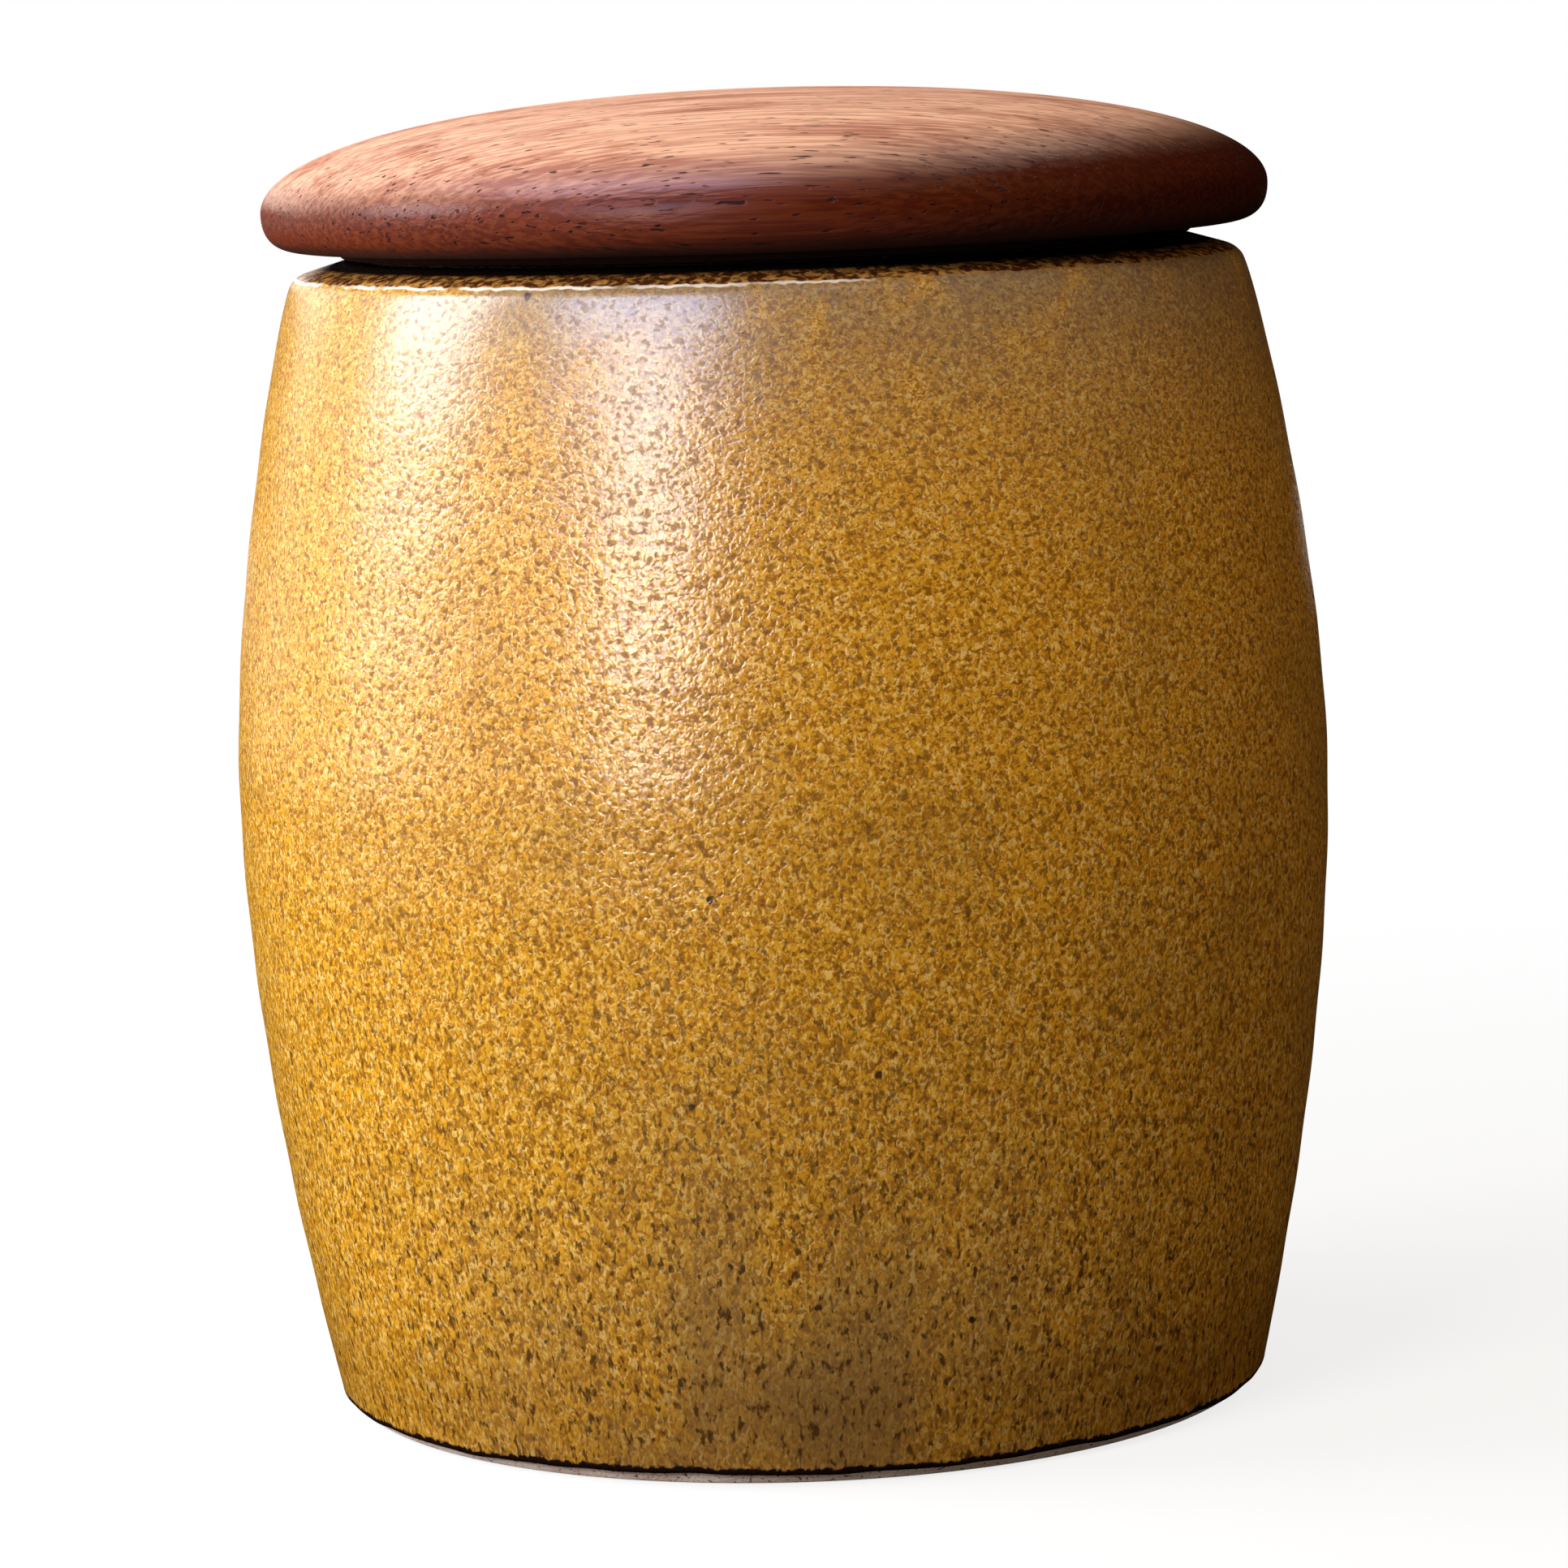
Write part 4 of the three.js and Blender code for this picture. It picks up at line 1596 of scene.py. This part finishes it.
@dataclass
class Humidifier:
    """The brass cup that is pressed into the plug, its vented cover, and the felt pad between them."""

    flange_height: float = 117.8
    cup_radius: float = 20.0
    cup_depth: float = 9.0
    flange_radius: float = 23.0
    sheet: float = 0.8
    cover_radius: float = 19.0
    cover_skirt: float = 2.4
    bead_radius: float = 16.9
    bead_half_width: float = 0.6
    bead_depth: float = 0.25
    vent_radius: float = 1.6
    vent_pitch: float = 7.05
    vent_rings: int = 2
    first_ring_vents: int = 6
    pad_radius: float = 18.0
    pad_thickness: float = 7.0
    pad_lift: float = 0.2
    pad_fill: float = 0.9
    pad_dip: float = 0.3
    segments: int = 128
    vent_segments: int = 24
    cup: bpy.types.Object = field(init=False)
    cover: bpy.types.Object = field(init=False)
    pad: bpy.types.Object = field(init=False)

    def build_cup(self) -> None:
        """Make the cup, mouth down, with its flange."""
        inside = self.cup_radius - self.sheet
        corners = (
            (0.0, self.cup_depth - self.sheet, 0.0),
            (inside, self.cup_depth - self.sheet, 0.8),
            (inside, -self.sheet, 0.6),
            (self.flange_radius, -self.sheet, 0.35),
            (self.flange_radius, 0.0, 0.35),
            (self.cup_radius, 0.0, 0.25),
            (self.cup_radius, self.cup_depth, 1.5),
            (0.0, self.cup_depth, 0.0),
        )
        mesh = revolve("drawn_cup", [Stretch(rounded(corners, step=1.0))], self.segments)
        mesh = moved(mesh, z=self.flange_height)
        self.cup = add_piece(mesh, "humidifier_cup", Body.HUMIDIFIER)

    def vents(self) -> list[bpy.types.Mesh]:
        """Make the cuts for the vents.

        Returns:
            A cut in the middle, and full rings of cuts round it.
        """
        depth = 2 * self.sheet
        wall = [(self.vent_radius, -depth), (self.vent_radius, depth)]
        section = [Stretch([(0.0, -depth), *wall, (0.0, depth)])]
        cuts = []
        for ring in range(self.vent_rings + 1):
            count = max(1, self.first_ring_vents * ring)
            for i in range(count):
                angle = math.tau * i / count
                reach = ring * self.vent_pitch
                vent = revolve("vent", section, self.vent_segments)
                cuts.append(moved(vent, reach * math.cos(angle), reach * math.sin(angle)))
        return cuts

    def build_cover(self) -> None:
        """Make the cover: a vented disc with a pressed bead and a turned-up skirt."""
        inside = self.cover_radius - self.sheet
        corners = (
            (0.0, 0.0, 0.0),
            (self.bead_radius - self.bead_half_width, 0.0, 0.3),
            (self.bead_radius, self.bead_depth, 0.3),
            (self.bead_radius + self.bead_half_width, 0.0, 0.3),
            (self.cover_radius, 0.0, 0.5),
            (self.cover_radius, self.cover_skirt, 0.25),
            (inside, self.cover_skirt, 0.25),
            (inside, self.sheet, 0.3),
            (0.0, self.sheet, 0.0),
        )
        mesh = revolve("vented_cover", [Stretch(rounded(corners, step=3.0))], self.segments)
        mesh = moved(cut(mesh, self.vents()), z=self.flange_height - self.sheet)
        self.cover = add_piece(mesh, "humidifier_cover", Body.HUMIDIFIER)

    def matted(
        self, angle: np.ndarray, radius: np.ndarray, height: np.ndarray
    ) -> tuple[np.ndarray, np.ndarray]:
        """Sink the felt's side and upper face unevenly.

        Args:
            angle: The angle of each row of the grid.
            radius: The radius of each point, in millimetres.
            height: The height of each point above the pad's lower face, in millimetres.

        Returns:
            The radii and the heights with the dips, which are up to pad_dip deep.
        """
        dip = self.pad_dip / 4
        side = dip * (2 + np.sin(9 * angle + height) + np.sin(23 * angle - 2 * height))
        upper = dip * (2 + np.sin(3 * angle + radius) + np.sin(7 * angle - 1.3 * radius))
        edge = np.interp(radius, (1.0, self.pad_radius), (0.0, 1.0))
        raised = np.interp(height, (1.0, self.pad_thickness), (0.0, 1.0))
        return radius - side * edge, height - upper * raised * edge

    def build_pad(self) -> None:
        """Make the pad: a felt disc with soft edges and an uneven face."""
        corners = (
            (0.0, 0.0, 0.0),
            (self.pad_radius, 0.0, 1.3),
            (self.pad_radius, self.pad_thickness, 1.8),
            (0.0, self.pad_thickness, 0.0),
        )
        mesh = revolve("felt_pad", [Stretch(rounded(corners, step=0.8))], self.segments, self.matted)
        mesh = moved(mesh, z=self.flange_height + self.pad_lift)
        self.pad = add_piece(mesh, "humidifier_pad", Body.HUMIDIFIER)

    def build(self) -> None:
        """Make the humidifier's meshes."""
        self.build_cup()
        self.build_cover()
        self.build_pad()

    def dress(self) -> None:
        """Give the brass and the felt their finishes."""
        brass = DulledBrass().material()
        self.cup.data.materials.append(brass)
        self.cover.data.materials.append(brass)
        self.pad.data.materials.append(PressedFelt().material())


# The studio


@dataclass(frozen=True)
class SoftLight:
    """A soft box. At level 1 it lights a surface that faces it so that a colour renders as written."""

    name: str
    azimuth: float
    elevation: float
    distance: float
    width: float
    height: float
    level: float
    colour: str
    reach: Reach = Reach.ALL

    def build(self, target: Vector) -> None:
        """Hang the light round a target. Azimuth 0 is the camera's side, and it grows to the right.

        Args:
            target: The place that the light looks at.
        """
        turn = math.radians(self.azimuth)
        lift = math.radians(self.elevation)
        away = Vector((math.sin(turn) * math.cos(lift), -math.cos(turn) * math.cos(lift), math.sin(lift)))
        lamp = bpy.data.lights.new(self.name, "AREA")
        lamp.shape = "RECTANGLE"
        lamp.size = self.width
        lamp.size_y = self.height
        lamp.energy = math.pi**2 * self.level * self.distance**2
        lamp.color = linear(self.colour)[:3]
        light = bpy.data.objects.new(self.name, lamp)
        light.location = target + away * self.distance
        light.rotation_euler = away.to_track_quat("Z", "Y").to_euler()
        light.visible_camera = False
        light.visible_diffuse = self.reach is not Reach.GLINT
        light.visible_glossy = self.reach is not Reach.WASH
        bpy.context.scene.collection.objects.link(light)


@dataclass(frozen=True)
class Flag:
    """A black card outside the picture. Only reflections show it, and it casts no shadow."""

    name: str
    centre: tuple[float, float, float]
    width: float
    height: float
    turn: float
    lean: float

    def build(self) -> bpy.types.Object:
        """Lean the card up from lying flat, and turn it about the vertical.

        Returns:
            The card.
        """
        card = bpy.data.objects.new(self.name, sheet_mesh(self.name, self.width, self.height))
        card.location = self.centre
        card.rotation_euler = (math.radians(self.lean), 0.0, math.radians(self.turn))
        card.visible_camera = False
        card.visible_diffuse = False
        card.visible_transmission = False
        card.visible_shadow = False
        bpy.context.scene.collection.objects.link(card)
        return card


@dataclass
class Studio:
    """The camera at the photograph's place, the paper floor, the soft lights and the air between them."""

    camera_distance: float = 0.6640
    camera_height: float = 0.1575
    camera_tilt: float = 7.531
    camera_roll: float = -1.96
    lens: float = 132.5
    sensor: float = 36.0
    floor_reach: float = 30.0
    floor_gap: float = 0.0001
    target: tuple[float, float, float] = (0.0, 0.0, 0.08)
    white: str = "#FFFFFF"
    air: str = "#E8E2DA"
    air_level: float = 0.19
    lights: tuple[SoftLight, ...] = (
        SoftLight("left_key", -86.0, 27.0, 0.9, 0.42, 0.42, 0.95, "#E8F2FF"),
        SoftLight("left_glint", -88.0, 7.0, 0.9, 0.34, 0.30, 0.16, "#FFFFFF", Reach.GLINT),
        SoftLight("front_key", -34.0, 29.0, 1.2, 0.52, 0.42, 0.80, "#FFFAF4", Reach.WASH),
        SoftLight("front_window", -31.0, 32.0, 1.2, 0.80, 0.40, 0.82, "#B4CEFF", Reach.GLINT),
        SoftLight("front_glint", -27.0, 12.0, 0.55, 0.13, 0.19, 0.48, "#F4F8FF", Reach.GLINT),
        SoftLight("low_wash", -70.0, 8.0, 1.0, 0.6, 0.4, 0.30, "#E8EEFF", Reach.WASH),
        SoftLight("left_sky", -115.0, 22.0, 1.2, 0.7, 0.7, 0.55, "#FFFFFF", Reach.WASH),
        SoftLight("overhead_glint", -95.0, 72.0, 1.0, 0.6, 0.6, 1.7, "#E0CCF4", Reach.GLINT),
        SoftLight("back_sky", -155.0, 18.0, 1.3, 1.3, 0.5, 0.2, "#FFF4EC"),
        SoftLight("right_fill", 70.0, 46.0, 1.0, 0.8, 0.8, 0.24, "#FFD68A"),
    )
    flags: tuple[Flag, ...] = (
        Flag("right_flag", (0.50, 1.10, 0.60), 3.8, 1.20, 90.0, 90.0),
        Flag("front_flag", (0.45, -0.80, 0.45), 1.2, 0.90, 0.0, 90.0),
        Flag("back_flag", (0.10, 1.40, 0.46), 2.6, 0.90, 0.0, 90.0),
        Flag("floor_flag", (0.0, 0.20, 0.001), 1.3, 2.0, 0.0, 0.0),
    )
    floor: bpy.types.Object = field(init=False)
    cards: list[bpy.types.Object] = field(default_factory=list)

    def build_camera(self) -> None:
        """Stand the camera where the photograph was taken from."""
        lens = bpy.data.cameras.new("camera")
        lens.lens = self.lens
        lens.sensor_width = self.sensor
        camera = bpy.data.objects.new("camera", lens)
        camera.location = (0.0, -self.camera_distance, self.camera_height)
        level = Quaternion((1, 0, 0), math.radians(90 - self.camera_tilt))
        roll = Quaternion((0, 0, 1), math.radians(self.camera_roll))
        camera.rotation_euler = (level @ roll).to_euler()
        bpy.context.scene.collection.objects.link(camera)
        bpy.context.scene.camera = camera

    def build_floor(self) -> None:
        """Lay the paper that the jar stands on."""
        side = 2 * self.floor_reach
        self.floor = bpy.data.objects.new("paper_floor", sheet_mesh("paper_floor", side, side))
        self.floor.location.z = -self.floor_gap
        bpy.context.scene.collection.objects.link(self.floor)

    def build_air(self) -> None:
        """Fill the room: white where it is seen, and dim where it only lights the jar."""
        world = bpy.data.worlds.new("studio_air")
        world.use_nodes = True
        tree = world.node_tree
        tree.nodes.clear()
        put = partial(add_node, tree)
        dim = put("Background", {"Color": linear(self.air), "Strength": self.air_level})
        white = put("Background", {"Color": linear(self.white), "Strength": 1.0})
        put("OutputWorld", {"Surface": put("MixShader", {0: seen_ray(tree), 1: dim, 2: white})})
        bpy.context.scene.world = world

    def build(self) -> None:
        """Set the studio up, with Blender's standard view."""
        bpy.context.scene.view_settings.view_transform = "Standard"
        self.build_camera()
        self.build_floor()
        self.build_air()
        for light in self.lights:
            light.build(Vector(self.target))
        self.cards = [flag.build() for flag in self.flags]

    def dress(self) -> None:
        """Give the floor its paper, which isn't searched as a lamp, and the flags their cloth."""
        paper = StudioPaper().material()
        paper.cycles.emission_sampling = "NONE"
        self.floor.data.materials.append(paper)
        cloth = BlackCloth().material()
        for card in self.cards:
            card.data.materials.append(cloth)


def main() -> None:
    """Build and dress the studio and each sub-assembly."""
    logging.basicConfig(level=logging.INFO, format="%(name)s: %(message)s")
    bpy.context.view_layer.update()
    for assembly in (Studio(), Jar(), Lid(), Humidifier()):
        assembly.build()
        assembly.dress()
    shown = [name for name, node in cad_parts.items() if not node.hide_render]
    log.info("CAD nodes still shown: %s", ", ".join(shown) or "none")


if __name__ == "__main__":
    main()
